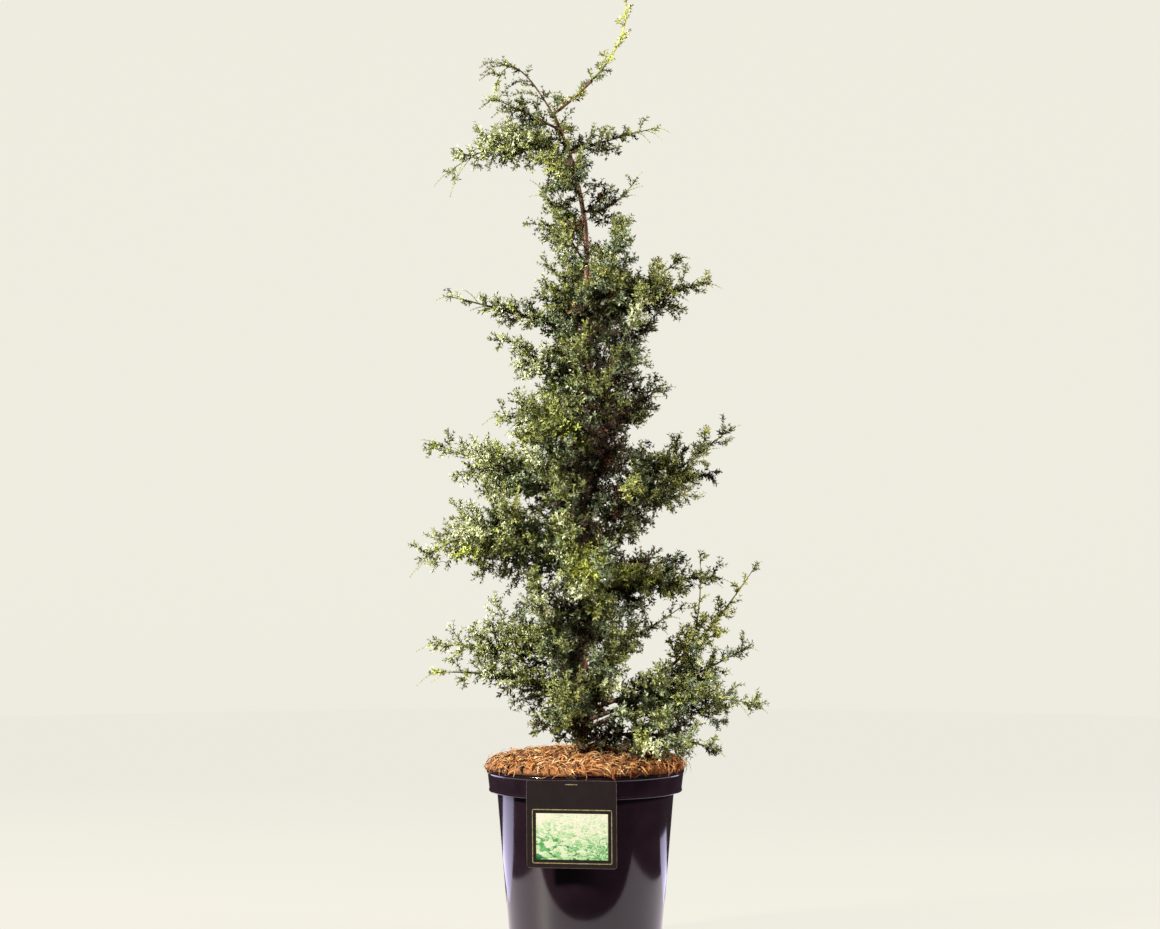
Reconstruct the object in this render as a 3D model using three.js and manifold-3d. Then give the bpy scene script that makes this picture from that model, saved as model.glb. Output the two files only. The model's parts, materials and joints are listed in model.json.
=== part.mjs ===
// An upright juniper in a round nursery pot, in millimetres, +Z up.
// The origin is the centre of the pot's flat underside, +X is the viewer's right and -Y faces the viewer.
import * as THREE from "three";
import { mergeVertices } from "three/addons/utils/BufferGeometryUtils.js";
import Module from "manifold-3d";

const wasm = await Module();
wasm.setup();

// Clear space between neighbouring solids.
const GAP = 0.3;
// Clear space that foliage and mulch keep from the trunk and the boughs.
const CLEAR = 0.4;
// How far foliage may be simplified, and how close two corners of a solid may lie.
const FACET = 0.9;
const CLOSEST = 0.001;

// The pot: a tapered body under an upright collar.
const POT = {
  height: 208,
  rimRadius: 115,
  collarFootRadius: 112.5,
  collarHeight: 25,
  bodyTopRadius: 103,
  baseRadius: 87.5,
  wall: 2,
  floor: 3,
  rounding: 2,
  sides: 36,
};
const DRAIN = { count: 6, radius: 5, ring: 66, sides: 6 };

// What fills the pot: potting mix, and a domed layer of coarse coir mulch that spills over the rim.
const SOIL_TOP = POT.height - 13;
const MULCH = {
  overhang: 1.5,
  edgeRise: 2.5,
  crown: 18.5,
  shoulder: 2.4,
  rings: [1, 0.9, 0.7, 0.45, 0.2],
  lumps: 1.3,
  clear: 2,
};
// How fast the mulch's two sets of lumps wave, in radians per millimetre.
const LUMPS = { across: 0.19, along: 0.23, slantX: 0.11, slantY: 0.27 };

// The plain hanging card on the front of the rim.
const CARD = {
  width: 102,
  height: 98.5,
  thickness: 0.8,
  corner: 3.5,
  azimuth: THREE.MathUtils.degToRad(-98),
  lean: THREE.MathUtils.degToRad(3),
  belowRim: 2,
};
const HOOK = { width: 12, drop: 9, thickness: 0.8 };

// The trunk, from its flat cut on the potting mix to its tip. Its height is a share from 0 to 1.
const TRUNK = {
  foot: SOIL_TOP + GAP,
  top: 977,
  wander: 4,
  wanderCentre: 0.36,
  wanderWave: 0.95,
  lean: 34,
  leanFrom: 0.8,
  leanPower: 2,
  depthWander: 3,
  tipRadius: 1.7,
  taper: 5.6,
  taperPower: 0.9,
  flare: 5,
  flareHeight: 14,
  sides: 8,
  steps: 15,
  ringPower: 1.6,
  sunk: 0.01,
};

// How limbs and twigs thin out, as radii.
const LIMB = {
  leastRadius: 0.9,
  radiusPerReach: 0.011,
  tipRadius: 0.45,
  taperPower: 0.8,
  sides: 5,
  steps: 4,
};
const STEM = { sides: 3, steps: 5 };
const TWIG = {
  spacing: 12.9,
  shortest: 14,
  fewest: 5,
  angle: THREE.MathUtils.degToRad(52),
  lift: 0.3,
  footRadius: 1,
  lengthSpread: 0.3,
  whipShare: 0.14,
  whipFrom: 0.85,
  fullnessPower: 2,
};

// A spray of needles is one slim core with four teeth set at different places along it.
const SPRAY = {
  length: 76,
  width: 0.24,
  depth: 0.13,
  teeth: [0.34, 0.56, 0.26, 0.46],
  angle: THREE.MathUtils.degToRad(40),
  lift: 0.35,
  spacing: 30,
  sunk: 0.1,
  lengthSpread: 0.35,
  pastTwig: 0.8,
  firstSpot: 0.6,
  besideShare: 0.85,
  endShare: 0.6,
};
// The sizes tried for each twig and spray, as shares of the wanted length.
const SIZES = [1, 0.75, 0.5];
// The core of a dense mass.
const CORE = { margin: 1.5, lumps: 0.3, detail: 1 };
const GOLDEN_ANGLE = Math.PI * (3 - Math.sqrt(5));
const SEED = 4117;
// How clearly each corner of a piece has to stand in its own mass's space, in square millimetres.
const MARGIN = 60;
const SITE = { spacing: 22, share: 0.3 };

// Every limb lies in an upright plane through the trunk. It leaves the trunk at the height `leaves`, runs
// out by `reach` towards `azimuth` (degrees, 0 is the right and 270 the front) and ends at the height `tip`.
// Arch and sweep lift and push out its middle. The first share of it, `bough`, is bare, and the rest
// carries foliage out to `spread` from its stem, in sprays `spray` long. A dense one has a core round its
// stem, as wide as the share `core` of the spread.
const SIDE_LIMBS = [
  {
    name: "leader", leaves: 977, azimuth: 0, reach: 80, tip: 1136,
    arch: 4, sweep: 70, spread: 20, spray: 20,
  },
  {
    name: "crown_whips", leaves: 966, azimuth: 181, reach: 73, tip: 1007,
    arch: 88, sweep: 22, spread: 22, spray: 20,
  },
  {
    name: "top_left", leaves: 918, azimuth: 171, reach: 148, tip: 912,
    arch: 56, bough: 0.12, spread: 58, spray: 58, core: 0.36,
  },
  { name: "top_left_high", leaves: 958, azimuth: 212, reach: 90, tip: 986, spread: 38, spray: 34 },
  { name: "top_right", leaves: 930, azimuth: 12, reach: 104, tip: 964, arch: 4, spread: 37, spray: 34 },
  { name: "top_front_left", leaves: 886, azimuth: 248, reach: 78, tip: 902, spread: 60 },
  {
    name: "top_back", leaves: 900, azimuth: 118, reach: 70, tip: 962,
    arch: -10, spread: 54, core: 0.26,
  },
  {
    name: "upper_left", leaves: 836, azimuth: 166, reach: 54, tip: 890,
    arch: -14, spread: 54, spray: 52,
  },
  {
    name: "upper_front", leaves: 798, azimuth: 232, reach: 52, tip: 852,
    arch: -10, spread: 54, spray: 52,
  },
  {
    name: "upper_right", leaves: 862, azimuth: 5, reach: 62, tip: 899,
    arch: -26, spread: 38, spray: 34,
  },
  {
    name: "shoulder_left", leaves: 712, azimuth: 193, reach: 168, tip: 757,
    arch: 6, bough: 0.12, spread: 40, spray: 36, core: 0.26,
  },
  {
    name: "shoulder_right", leaves: 720, azimuth: 342, reach: 140, tip: 770,
    arch: 16, spread: 70, core: 0.3,
  },
  {
    name: "crest_right", leaves: 742, azimuth: 28, reach: 124, tip: 812,
    arch: -16, spread: 50, core: 0.3, spray: 60,
  },
  {
    name: "waist_left", leaves: 604, azimuth: 158, reach: 112, tip: 622,
    spread: 92, core: 0.3, arch: 6,
  },
  { name: "waist_left_high", leaves: 640, azimuth: 200, reach: 100, tip: 708, spread: 74 },
  { name: "waist_right", leaves: 600, azimuth: 16, reach: 88, tip: 654, spread: 80, core: 0.3 },
  {
    name: "middle_left", leaves: 512, azimuth: 170, reach: 182, tip: 588,
    arch: 6, bough: 0.12, spread: 76, core: 0.34,
  },
  {
    name: "middle_right", leaves: 486, azimuth: 350, reach: 166, tip: 600,
    arch: -10, bough: 0.14, spread: 84, core: 0.34,
  },
  {
    name: "lower_left", leaves: 420, azimuth: 191, reach: 188, tip: 454,
    arch: 84, bough: 0.12, spread: 104, core: 0.36, spray: 80,
  },
  {
    name: "lower_right", leaves: 406, azimuth: 14, reach: 162, tip: 430,
    spread: 86, arch: 14, core: 0.34,
  },
  {
    name: "skirt_left", leaves: 332, azimuth: 168, reach: 176, tip: 350,
    arch: 14, spread: 88, core: 0.3,
  },
  {
    name: "skirt_left_low", leaves: 284, azimuth: 196, reach: 176, tip: 322,
    arch: 24, spread: 50, spray: 44, core: 0.25,
  },
  {
    name: "right_twigs", leaves: 332, azimuth: 30, reach: 140, tip: 396,
    arch: -8, spread: 44, spray: 32,
  },
  {
    name: "side_main", leaves: 262, azimuth: 352, reach: 192, tip: 350,
    arch: -10, bough: 0.2, spread: 80, core: 0.36,
  },
  {
    name: "side_shoot_tall", leaves: 290, azimuth: 22, reach: 152, tip: 458,
    arch: -116, sweep: 88, bough: 0.4, spread: 34, spray: 28,
  },
  {
    name: "side_shoot_arch", leaves: 276, azimuth: 3, reach: 204, tip: 444,
    arch: -66, sweep: 4, bough: 0.5, spread: 40, spray: 32,
  },
  {
    name: "side_low", leaves: 250, azimuth: 336, reach: 216, tip: 288,
    arch: 42, bough: 0.2, spread: 80, spray: 60, core: 0.34,
  },
  {
    name: "foot_right", leaves: 239, azimuth: 322, reach: 186, tip: 240,
    arch: 26, spread: 84, spray: 62, core: 0.36,
  },
];

// The dense body of the crown: in each tier, plumes leave the trunk at three azimuths and turn up
// beside it.
const TIERS = [
  { name: "foot", leaves: 244, rise: 74, reach: 66, turn: 6 },
  { name: "skirt", leaves: 318, rise: 106, reach: 80, turn: -12 },
  { name: "lower", leaves: 412, rise: 110, reach: 84, turn: 14 },
  { name: "middle", leaves: 508, rise: 114, reach: 82, turn: -10 },
  { name: "waist", leaves: 606, rise: 106, reach: 74, turn: 18 },
  { name: "shoulder", leaves: 692, rise: 84, reach: 66, turn: 0 },
];
const SECTORS = [
  { sector: "front_left", azimuth: 248, up: 0, wider: 1.1 },
  { sector: "front_right", azimuth: 294, up: 44, wider: 1.15 },
  { sector: "back", azimuth: 90, up: 24, wider: 1.45 },
];
const PLUME = { arch: -26, sweep: 18, spread: 70, spray: 76, shrink: 0.4, core: 0.36, coreTo: 0.85 };
const plumes = TIERS.flatMap((tier) =>
  SECTORS.map(({ sector, azimuth, up, wider }) => ({
    ...PLUME,
    name: `${tier.name}_${sector}`,
    leaves: tier.leaves + up,
    azimuth: azimuth + tier.turn,
    reach: tier.reach * wider,
    tip: tier.leaves + tier.rise + up,
  })),
);
const LIMBS = [...SIDE_LIMBS, ...plumes].map((limb) => ({
  arch: 0,
  sweep: 0,
  bough: 0,
  core: 0,
  spray: SPRAY.length,
  shrink: 0.7,
  coreTo: 0.62,
  ...limb,
}));

const MATERIALS = {
  pot: new THREE.MeshStandardMaterial({ color: "#1d181c", roughness: 0.28, metalness: 0 }),
  card: new THREE.MeshStandardMaterial({ color: "#2a1f20", roughness: 0.45, metalness: 0 }),
  soil: new THREE.MeshStandardMaterial({ color: "#2c2019", roughness: 0.95, metalness: 0 }),
  mulch: new THREE.MeshStandardMaterial({ color: "#a8602f", roughness: 0.9, metalness: 0 }),
  bark: new THREE.MeshStandardMaterial({ color: "#5c4238", roughness: 0.85, metalness: 0 }),
  foliage: new THREE.MeshStandardMaterial({ color: "#4f6b41", roughness: 0.6, metalness: 0 }),
  shoot: new THREE.MeshStandardMaterial({ color: "#8ea043", roughness: 0.6, metalness: 0 }),
};

// A repeatable stream of numbers from 0 to 1.
function seeded(seed) {
  let state = seed >>> 0;
  return () => {
    state = (state + 0x6d2b79f5) >>> 0;
    let mixed = Math.imul(state ^ (state >>> 15), state | 1);
    mixed ^= mixed + Math.imul(mixed ^ (mixed >>> 7), mixed | 61);
    return ((mixed ^ (mixed >>> 14)) >>> 0) / 4294967296;
  };
}

// A closed geometry as a solid that can be joined and cut.
function solidFrom(geometry) {
  const bare = geometry.clone();
  bare.deleteAttribute("normal");
  bare.deleteAttribute("uv");
  const merged = mergeVertices(bare, 1e-4);
  return new wasm.Manifold(
    new wasm.Mesh({
      numProp: 3,
      vertProperties: merged.attributes.position.array,
      triVerts: new Uint32Array(merged.index.array),
    }),
  );
}

// True if a surface is still closed once corners that nearly coincide are one: no edge is walked twice
// the same way.
function staysClosed(geometry) {
  const corners = mergeVertices(geometry, CLOSEST).index.array;
  const walked = new Set();
  for (let i = 0; i < corners.length; i += 3) {
    const [a, b, c] = corners.subarray(i, i + 3);
    if (a === b || b === c || c === a) continue;
    for (const edge of [`${a} ${b}`, `${b} ${c}`, `${c} ${a}`]) {
      if (walked.has(edge)) return false;
      walked.add(edge);
    }
  }
  return true;
}

// The main body of a solid as a geometry. Loose scraps and sealed hollows are bodies of their own, and
// are dropped.
function geometryFrom(solid, tolerance = 0.01) {
  const bodies = solid.asOriginal().simplify(tolerance).decompose();
  const main = bodies.reduce((best, body) => (body.volume() > best.volume() ? body : best));
  const mesh = main.getMesh();
  const geometry = new THREE.BufferGeometry();
  geometry.setAttribute("position", new THREE.BufferAttribute(mesh.vertProperties, 3));
  geometry.setIndex(new THREE.BufferAttribute(mesh.triVerts, 1));
  if (!staysClosed(geometry)) return geometryFrom(solid, 1.25 * tolerance);
  geometry.computeVertexNormals();
  return geometry;
}

function named(name, geometry, material) {
  const mesh = new THREE.Mesh(geometry, material);
  mesh.name = name;
  return mesh;
}

// A profile of [radius, height] pairs, from the axis to the axis, turned about the vertical.
function turned(profile, sides) {
  const points = profile.map(([radius, height]) => new THREE.Vector2(radius, height));
  return new THREE.LatheGeometry(points, sides).rotateX(Math.PI / 2);
}

function potGeometry() {
  const { height, rimRadius, collarFootRadius, bodyTopRadius, baseRadius, wall, floor, rounding } = POT;
  const ledge = height - POT.collarHeight;
  const body = turned(
    [
      [0, 0],
      [baseRadius - rounding, 0],
      [baseRadius, rounding],
      [bodyTopRadius, ledge],
      [collarFootRadius - rounding, ledge],
      [collarFootRadius, ledge + rounding],
      [rimRadius, height - wall / 2],
      [rimRadius - wall / 2, height],
      [rimRadius - wall, height],
      [collarFootRadius - wall, ledge + wall],
      [bodyTopRadius - wall, ledge + wall],
      [baseRadius - wall, floor],
      [0, floor],
    ],
    POT.sides,
  );
  let solid = solidFrom(body);
  for (let i = 0; i < DRAIN.count; i++) {
    const angle = (i * 2 * Math.PI) / DRAIN.count;
    const hole = new THREE.CylinderGeometry(DRAIN.radius, DRAIN.radius, 3 * floor, DRAIN.sides);
    hole.rotateX(Math.PI / 2);
    hole.translate(DRAIN.ring * Math.cos(angle), DRAIN.ring * Math.sin(angle), 0);
    solid = solid.subtract(solidFrom(hole));
  }
  return geometryFrom(solid);
}

// The inside radius of the collar at a height.
function collarInside(height) {
  const foot = POT.height - POT.collarHeight + POT.wall;
  const share = (height - foot) / (POT.height - foot);
  return THREE.MathUtils.lerp(POT.collarFootRadius, POT.rimRadius, share) - POT.wall;
}

function soilGeometry() {
  const bottom = POT.floor + GAP;
  const step = POT.height - POT.collarHeight + POT.wall + GAP;
  return turned(
    [
      [0, bottom],
      [POT.baseRadius - POT.wall - GAP, bottom],
      [POT.bodyTopRadius - POT.wall - 2 * GAP, step],
      [collarInside(step) - GAP, step],
      [collarInside(SOIL_TOP) - GAP, SOIL_TOP],
      [0, SOIL_TOP],
    ],
    POT.sides,
  );
}

// The height of the mulch's smooth dome at a distance from the axis, before its lumps.
function mulchTop(radius) {
  const share = Math.min(1, radius / (POT.rimRadius + MULCH.overhang));
  return POT.height + MULCH.edgeRise + MULCH.crown * Math.sqrt(1 - share ** MULCH.shoulder);
}

// Gentle lumps in the mulch, from -1 to 1.
function lumps(x, y) {
  const square = Math.sin(LUMPS.across * x) * Math.cos(LUMPS.along * y);
  const slant = Math.sin(LUMPS.slantX * x - LUMPS.slantY * y);
  return (square + slant) / 2;
}

function mulchGeometry() {
  const bottom = SOIL_TOP + GAP;
  const overRim = POT.height + GAP;
  const edge = POT.rimRadius + MULCH.overhang;
  const profile = [
    [0, bottom],
    [collarInside(bottom) - GAP, bottom],
    [collarInside(POT.height) - GAP, overRim + MULCH.lumps],
    [edge, overRim + MULCH.lumps],
  ];
  for (const share of MULCH.rings) profile.push([edge * share, mulchTop(edge * share)]);
  profile.push([0, mulchTop(0)]);
  const geometry = turned(profile, POT.sides);
  const place = geometry.attributes.position;
  for (let i = 0; i < place.count; i++) {
    if (place.getZ(i) > POT.height) {
      place.setZ(i, place.getZ(i) + MULCH.lumps * lumps(place.getX(i), place.getY(i)));
    }
  }
  const notchTop = POT.height + 2 * GAP + HOOK.thickness;
  const notchBottom = POT.height - HOOK.drop - GAP;
  const depth = hookInside() + 2 * GAP + HOOK.thickness;
  const notch = new THREE.BoxGeometry(HOOK.width + 2 * GAP, 2 * depth, notchTop - notchBottom);
  notch.translate(0, 0, (notchTop + notchBottom) / 2).applyMatrix4(cardPlace(POT.rimRadius + GAP));
  return geometryFrom(solidFrom(geometry).subtract(grownTrunk).subtract(solidFrom(notch)));
}

// How far in from the rim's outside the hook's inner leg hangs.
function hookInside() {
  return POT.rimRadius - collarInside(POT.height - HOOK.drop) + 4 * GAP;
}

// Puts something modelled at the origin, facing -Y, onto the rim at the card's azimuth.
function cardPlace(distance) {
  const angle = CARD.azimuth;
  const turn = new THREE.Matrix4().makeRotationZ(angle + Math.PI / 2);
  return turn.setPosition(distance * Math.cos(angle), distance * Math.sin(angle), 0);
}

// The card's plate, with a narrow hook from its upper edge that passes over the rim and down inside it.
function cardGeometry() {
  const { width, height, thickness, corner } = CARD;
  const half = width / 2;
  const outline = new THREE.Shape();
  outline.moveTo(-half + corner, -height);
  outline.lineTo(half - corner, -height);
  outline.absarc(half - corner, corner - height, corner, -Math.PI / 2, 0);
  outline.lineTo(half, -corner);
  outline.absarc(half - corner, -corner, corner, 0, Math.PI / 2);
  outline.lineTo(-half + corner, 0);
  outline.absarc(-half + corner, -corner, corner, Math.PI / 2, Math.PI);
  outline.lineTo(-half, corner - height);
  outline.absarc(-half + corner, corner - height, corner, Math.PI, 1.5 * Math.PI);
  const asPlate = { depth: thickness, bevelEnabled: false, curveSegments: 3 };
  const plate = new THREE.ExtrudeGeometry(outline, asPlate);
  plate.rotateX(Math.PI / 2 + CARD.lean);
  plate.translate(0, -thickness, POT.height - CARD.belowRim);

  const inside = hookInside();
  const over = POT.height + GAP;
  const strip = new THREE.Shape();
  strip.moveTo(-thickness, POT.height - 3 * CARD.belowRim);
  strip.lineTo(0, POT.height - 3 * CARD.belowRim);
  strip.lineTo(0, over);
  strip.lineTo(inside, over);
  strip.lineTo(inside, POT.height - HOOK.drop);
  strip.lineTo(inside + HOOK.thickness, POT.height - HOOK.drop);
  strip.lineTo(inside + HOOK.thickness, over + HOOK.thickness);
  strip.lineTo(-thickness, over + HOOK.thickness);
  const hook = new THREE.ExtrudeGeometry(strip, { depth: HOOK.width, bevelEnabled: false });
  hook.rotateX(Math.PI / 2);
  hook.rotateZ(Math.PI / 2);
  hook.translate(-HOOK.width / 2, 0, 0);
  const whole = solidFrom(plate).add(solidFrom(hook));
  return geometryFrom(whole).applyMatrix4(cardPlace(POT.rimRadius + GAP));
}

// The trunk's axis: it wanders a little, and its top leans to the left.
class TrunkAxis extends THREE.Curve {
  getPoint(share, target = new THREE.Vector3()) {
    const wave = (2 * Math.PI * (share - TRUNK.wanderCentre)) / TRUNK.wanderWave;
    const leaning = Math.max(0, (share - TRUNK.leanFrom) / (1 - TRUNK.leanFrom));
    return target.set(
      TRUNK.wander * Math.sin(wave) - TRUNK.lean * leaning ** TRUNK.leanPower,
      TRUNK.depthWander * Math.sin(1.5 * wave),
      THREE.MathUtils.lerp(TRUNK.foot, TRUNK.top, share),
    );
  }
}
const trunkAxis = new TrunkAxis();

function trunkRadius(share) {
  const height = share * (TRUNK.top - TRUNK.foot);
  const flare = TRUNK.flare * Math.exp(-height / TRUNK.flareHeight);
  return TRUNK.tipRadius + TRUNK.taper * (1 - share) ** TRUNK.taperPower + flare;
}

// The direction of a curve, also past its ends.
function heading(curve, at) {
  const step = 0.001;
  return curve.getPoint(at + step).sub(curve.getPoint(at - step)).normalize();
}

// A straight closed cylinder bent along a curve between two places on it, thinning as radiusAt says.
// Side is a direction square to the limb's plane.
function bentLimb(curve, side, [from, to], radiusAt, sides, steps) {
  const geometry = new THREE.CylinderGeometry(1, 1, 1, sides, steps).translate(0, 0.5, 0);
  const place = geometry.attributes.position;
  for (let i = 0; i < place.count; i++) {
    const at = THREE.MathUtils.lerp(from, to, THREE.MathUtils.clamp(place.getY(i), 0, 1));
    const tangent = heading(curve, at);
    const normal = side.clone().cross(tangent).normalize();
    const across = tangent.clone().cross(normal);
    const point = curve.getPoint(at);
    point.addScaledVector(across, place.getX(i) * radiusAt(at));
    point.addScaledVector(normal, place.getZ(i) * radiusAt(at));
    place.setXYZ(i, point.x, point.y, point.z);
  }
  return geometry;
}

// The trunk, thicker all round by `extra`, with a flat cut where it stands on the potting mix.
// Its rings are closer together where the root flare is.
function trunkSolid(extra) {
  const early = (share) => (share <= 0 || share >= 1 ? share : share ** TRUNK.ringPower);
  const warped = new THREE.Curve();
  warped.getPoint = (share) => trunkAxis.getPoint(early(share));
  const radiusAt = (share) => trunkRadius(THREE.MathUtils.clamp(early(share), 0, 1)) + extra;
  const ends = [-TRUNK.sunk, 1 + extra / (TRUNK.top - TRUNK.foot)];
  const bent = bentLimb(warped, new THREE.Vector3(0, 1, 0), ends, radiusAt, TRUNK.sides, TRUNK.steps);
  return solidFrom(bent).trimByPlane([0, 0, 1], TRUNK.foot - extra);
}
const grownTrunk = trunkSolid(CLEAR);

// A limb's curve, the direction square to its plane, and its radius along it.
function limbOf(limb) {
  const azimuth = THREE.MathUtils.degToRad(limb.azimuth);
  const outward = new THREE.Vector3(Math.cos(azimuth), Math.sin(azimuth), 0);
  const share = (limb.leaves - TRUNK.foot) / (TRUNK.top - TRUNK.foot);
  const start = trunkAxis.getPoint(share);
  const end = start.clone().addScaledVector(outward, limb.reach).setZ(limb.tip);
  const middle = start.clone().lerp(end, 0.5).addScaledVector(outward, limb.sweep);
  middle.z += limb.arch;
  const footRadius = LIMB.leastRadius + LIMB.radiusPerReach * limb.reach;
  const radiusAt = (at) => footRadius * Math.max(0, 1 - at) ** LIMB.taperPower + LIMB.tipRadius;
  const side = new THREE.Vector3(-Math.sin(azimuth), Math.cos(azimuth), 0);
  return { curve: new THREE.QuadraticBezierCurve3(start, middle, end), side, radiusAt };
}

// How far the foliage stands from the stem, as a share of the spread. It thins to a whip at the end.
function fullness(along) {
  return Math.max(TWIG.whipShare, 1 - (along / TWIG.whipFrom) ** TWIG.fullnessPower);
}

const limbs = LIMBS.map((limb, index) => {
  const made = limbOf(limb);
  const length = made.curve.getLength();
  const stemFrom = limb.bough > 0 ? limb.bough + GAP / length : 0;
  return { ...limb, ...made, index, length, stemFrom };
});

// The spheres that share out the crown's space: a point belongs to the mass of the sphere that it is
// deepest in.
const sites = limbs.flatMap((limb) => {
  const count = Math.ceil((limb.length * (1 - limb.stemFrom)) / SITE.spacing);
  return Array.from({ length: count + 1 }, (_, i) => {
    const along = i / count;
    const centre = limb.curve.getPoint(THREE.MathUtils.lerp(limb.stemFrom, 1, along));
    return { centre, radius: SITE.share * limb.spread * fullness(along), mass: limb.index };
  });
});

// How much nearer a point is to one of the mass's own spheres than to any other mass's, as a power distance.
function standing(point, mass) {
  let own = Infinity;
  let other = Infinity;
  for (const site of sites) {
    const power = point.distanceToSquared(site.centre) - site.radius ** 2;
    if (site.mass === mass) own = Math.min(own, power);
    else other = Math.min(other, power);
  }
  return other - own;
}

// Everything that foliage keeps clear of: the trunk and the boughs, and the filled pot with its card.
const obstacles = wasm.Manifold.union([
  grownTrunk,
  ...limbs
    .filter((limb) => limb.bough > 0)
    .map(({ curve, side, bough, length, radiusAt }) => {
      const grown = (at) => radiusAt(at) + CLEAR;
      return solidFrom(bentLimb(curve, side, [0, bough + GAP / length], grown, LIMB.sides, LIMB.steps));
    }),
  solidFrom(
    turned(
      [
        [0, 0],
        [POT.rimRadius + MULCH.overhang + MULCH.clear, 0],
        [POT.rimRadius + MULCH.overhang + MULCH.clear, POT.height],
        ...[...MULCH.rings, 0].map((share) => {
          const radius = share * (POT.rimRadius + MULCH.overhang);
          return [radius, mulchTop(radius) + MULCH.lumps + GAP];
        }),
      ],
      POT.sides,
    ),
  ),
]);

// True if a piece lies in the mass's own space and touches none of the obstacles.
function fits(geometry, mass) {
  const place = geometry.attributes.position;
  for (let i = 0; i < place.count; i++) {
    if (standing(new THREE.Vector3().fromBufferAttribute(place, i), mass) < MARGIN) return false;
  }
  return obstacles.intersect(solidFrom(geometry)).isEmpty();
}

// A direction that leans away from the stem by an angle, turned round it, and lifted towards the light.
function branchDirection(forward, turn, angle, lift) {
  const helper = Math.abs(forward.z) < 0.9 ? new THREE.Vector3(0, 0, 1) : new THREE.Vector3(1, 0, 0);
  const across = helper.cross(forward).normalize();
  const over = forward.clone().cross(across);
  const radial = across.multiplyScalar(Math.cos(turn)).addScaledVector(over, Math.sin(turn));
  const direction = forward.clone().multiplyScalar(Math.cos(angle)).addScaledVector(radial, Math.sin(angle));
  direction.z += lift;
  return direction.normalize();
}

// A straight three-sided twig that thins from its foot to a point inside the spray at its end.
function twigGeometry(root, direction, length) {
  const geometry = new THREE.ConeGeometry(TWIG.footRadius, length, STEM.sides).translate(0, length / 2, 0);
  const turn = new THREE.Quaternion().setFromUnitVectors(new THREE.Vector3(0, 1, 0), direction);
  return geometry.applyQuaternion(turn).translate(root.x, root.y, root.z);
}

// A spray: an octahedron drawn out to a length, its four side corners set as teeth along it.
function sprayGeometry(root, direction, length, roll) {
  const geometry = new THREE.OctahedronGeometry(1);
  const place = geometry.attributes.position;
  const [right, left, upper, under] = SPRAY.teeth;
  for (let i = 0; i < place.count; i++) {
    const [x, y, z] = [place.getX(i), place.getY(i), place.getZ(i)].map(Math.round);
    const along = y ? (y + 1) / 2 : x ? (x > 0 ? right : left) : z > 0 ? upper : under;
    place.setXYZ(i, x * SPRAY.width * length, along * length, z * SPRAY.depth * length);
  }
  const turn = new THREE.Quaternion().setFromUnitVectors(new THREE.Vector3(0, 1, 0), direction);
  return geometry.rotateY(roll).applyQuaternion(turn).translate(root.x, root.y, root.z);
}

// The widest that a core can be at a place on its stem without leaving the mass's space or nearing the trunk.
function roomAt(point, ownRadius, mass) {
  const height = THREE.MathUtils.clamp((point.z - TRUNK.foot) / (TRUNK.top - TRUNK.foot), 0, 1);
  const toTrunk = point.distanceTo(trunkAxis.getPoint(height)) - trunkRadius(height);
  return sites.reduce((least, site) => {
    if (site.mass === mass) return least;
    const apart = point.distanceTo(site.centre);
    return Math.min(least, (apart ** 2 - site.radius ** 2 + ownRadius ** 2) / (2 * apart));
  }, toTrunk) - CORE.margin;
}

// A dense mass's lumpy core: a ball drawn out along the stem.
function coreGeometry(limb, random) {
  const geometry = new THREE.OctahedronGeometry(1, CORE.detail);
  const place = geometry.attributes.position;
  const lumpOf = new Map();
  for (let i = 0; i < place.count; i++) {
    const [x, y, z] = [place.getX(i), place.getY(i), place.getZ(i)];
    const key = [x, y, z].map((value) => value.toFixed(3)).join();
    if (!lumpOf.has(key)) lumpOf.set(key, 1 - CORE.lumps * random());
    const along = ((y + 1) / 2) * limb.coreTo;
    const at = THREE.MathUtils.lerp(limb.stemFrom, 1, along);
    const centre = limb.curve.getPoint(at);
    const room = roomAt(centre, SITE.share * limb.spread * fullness(along), limb.index);
    const radius = Math.min(limb.core * limb.spread, room) * lumpOf.get(key);
    const tangent = heading(limb.curve, at);
    const over = limb.side.clone().cross(tangent);
    centre.addScaledVector(limb.side, x * Math.max(1, radius)).addScaledVector(over, z * Math.max(1, radius));
    place.setXYZ(i, centre.x, centre.y, centre.z);
  }
  return geometry;
}

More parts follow.
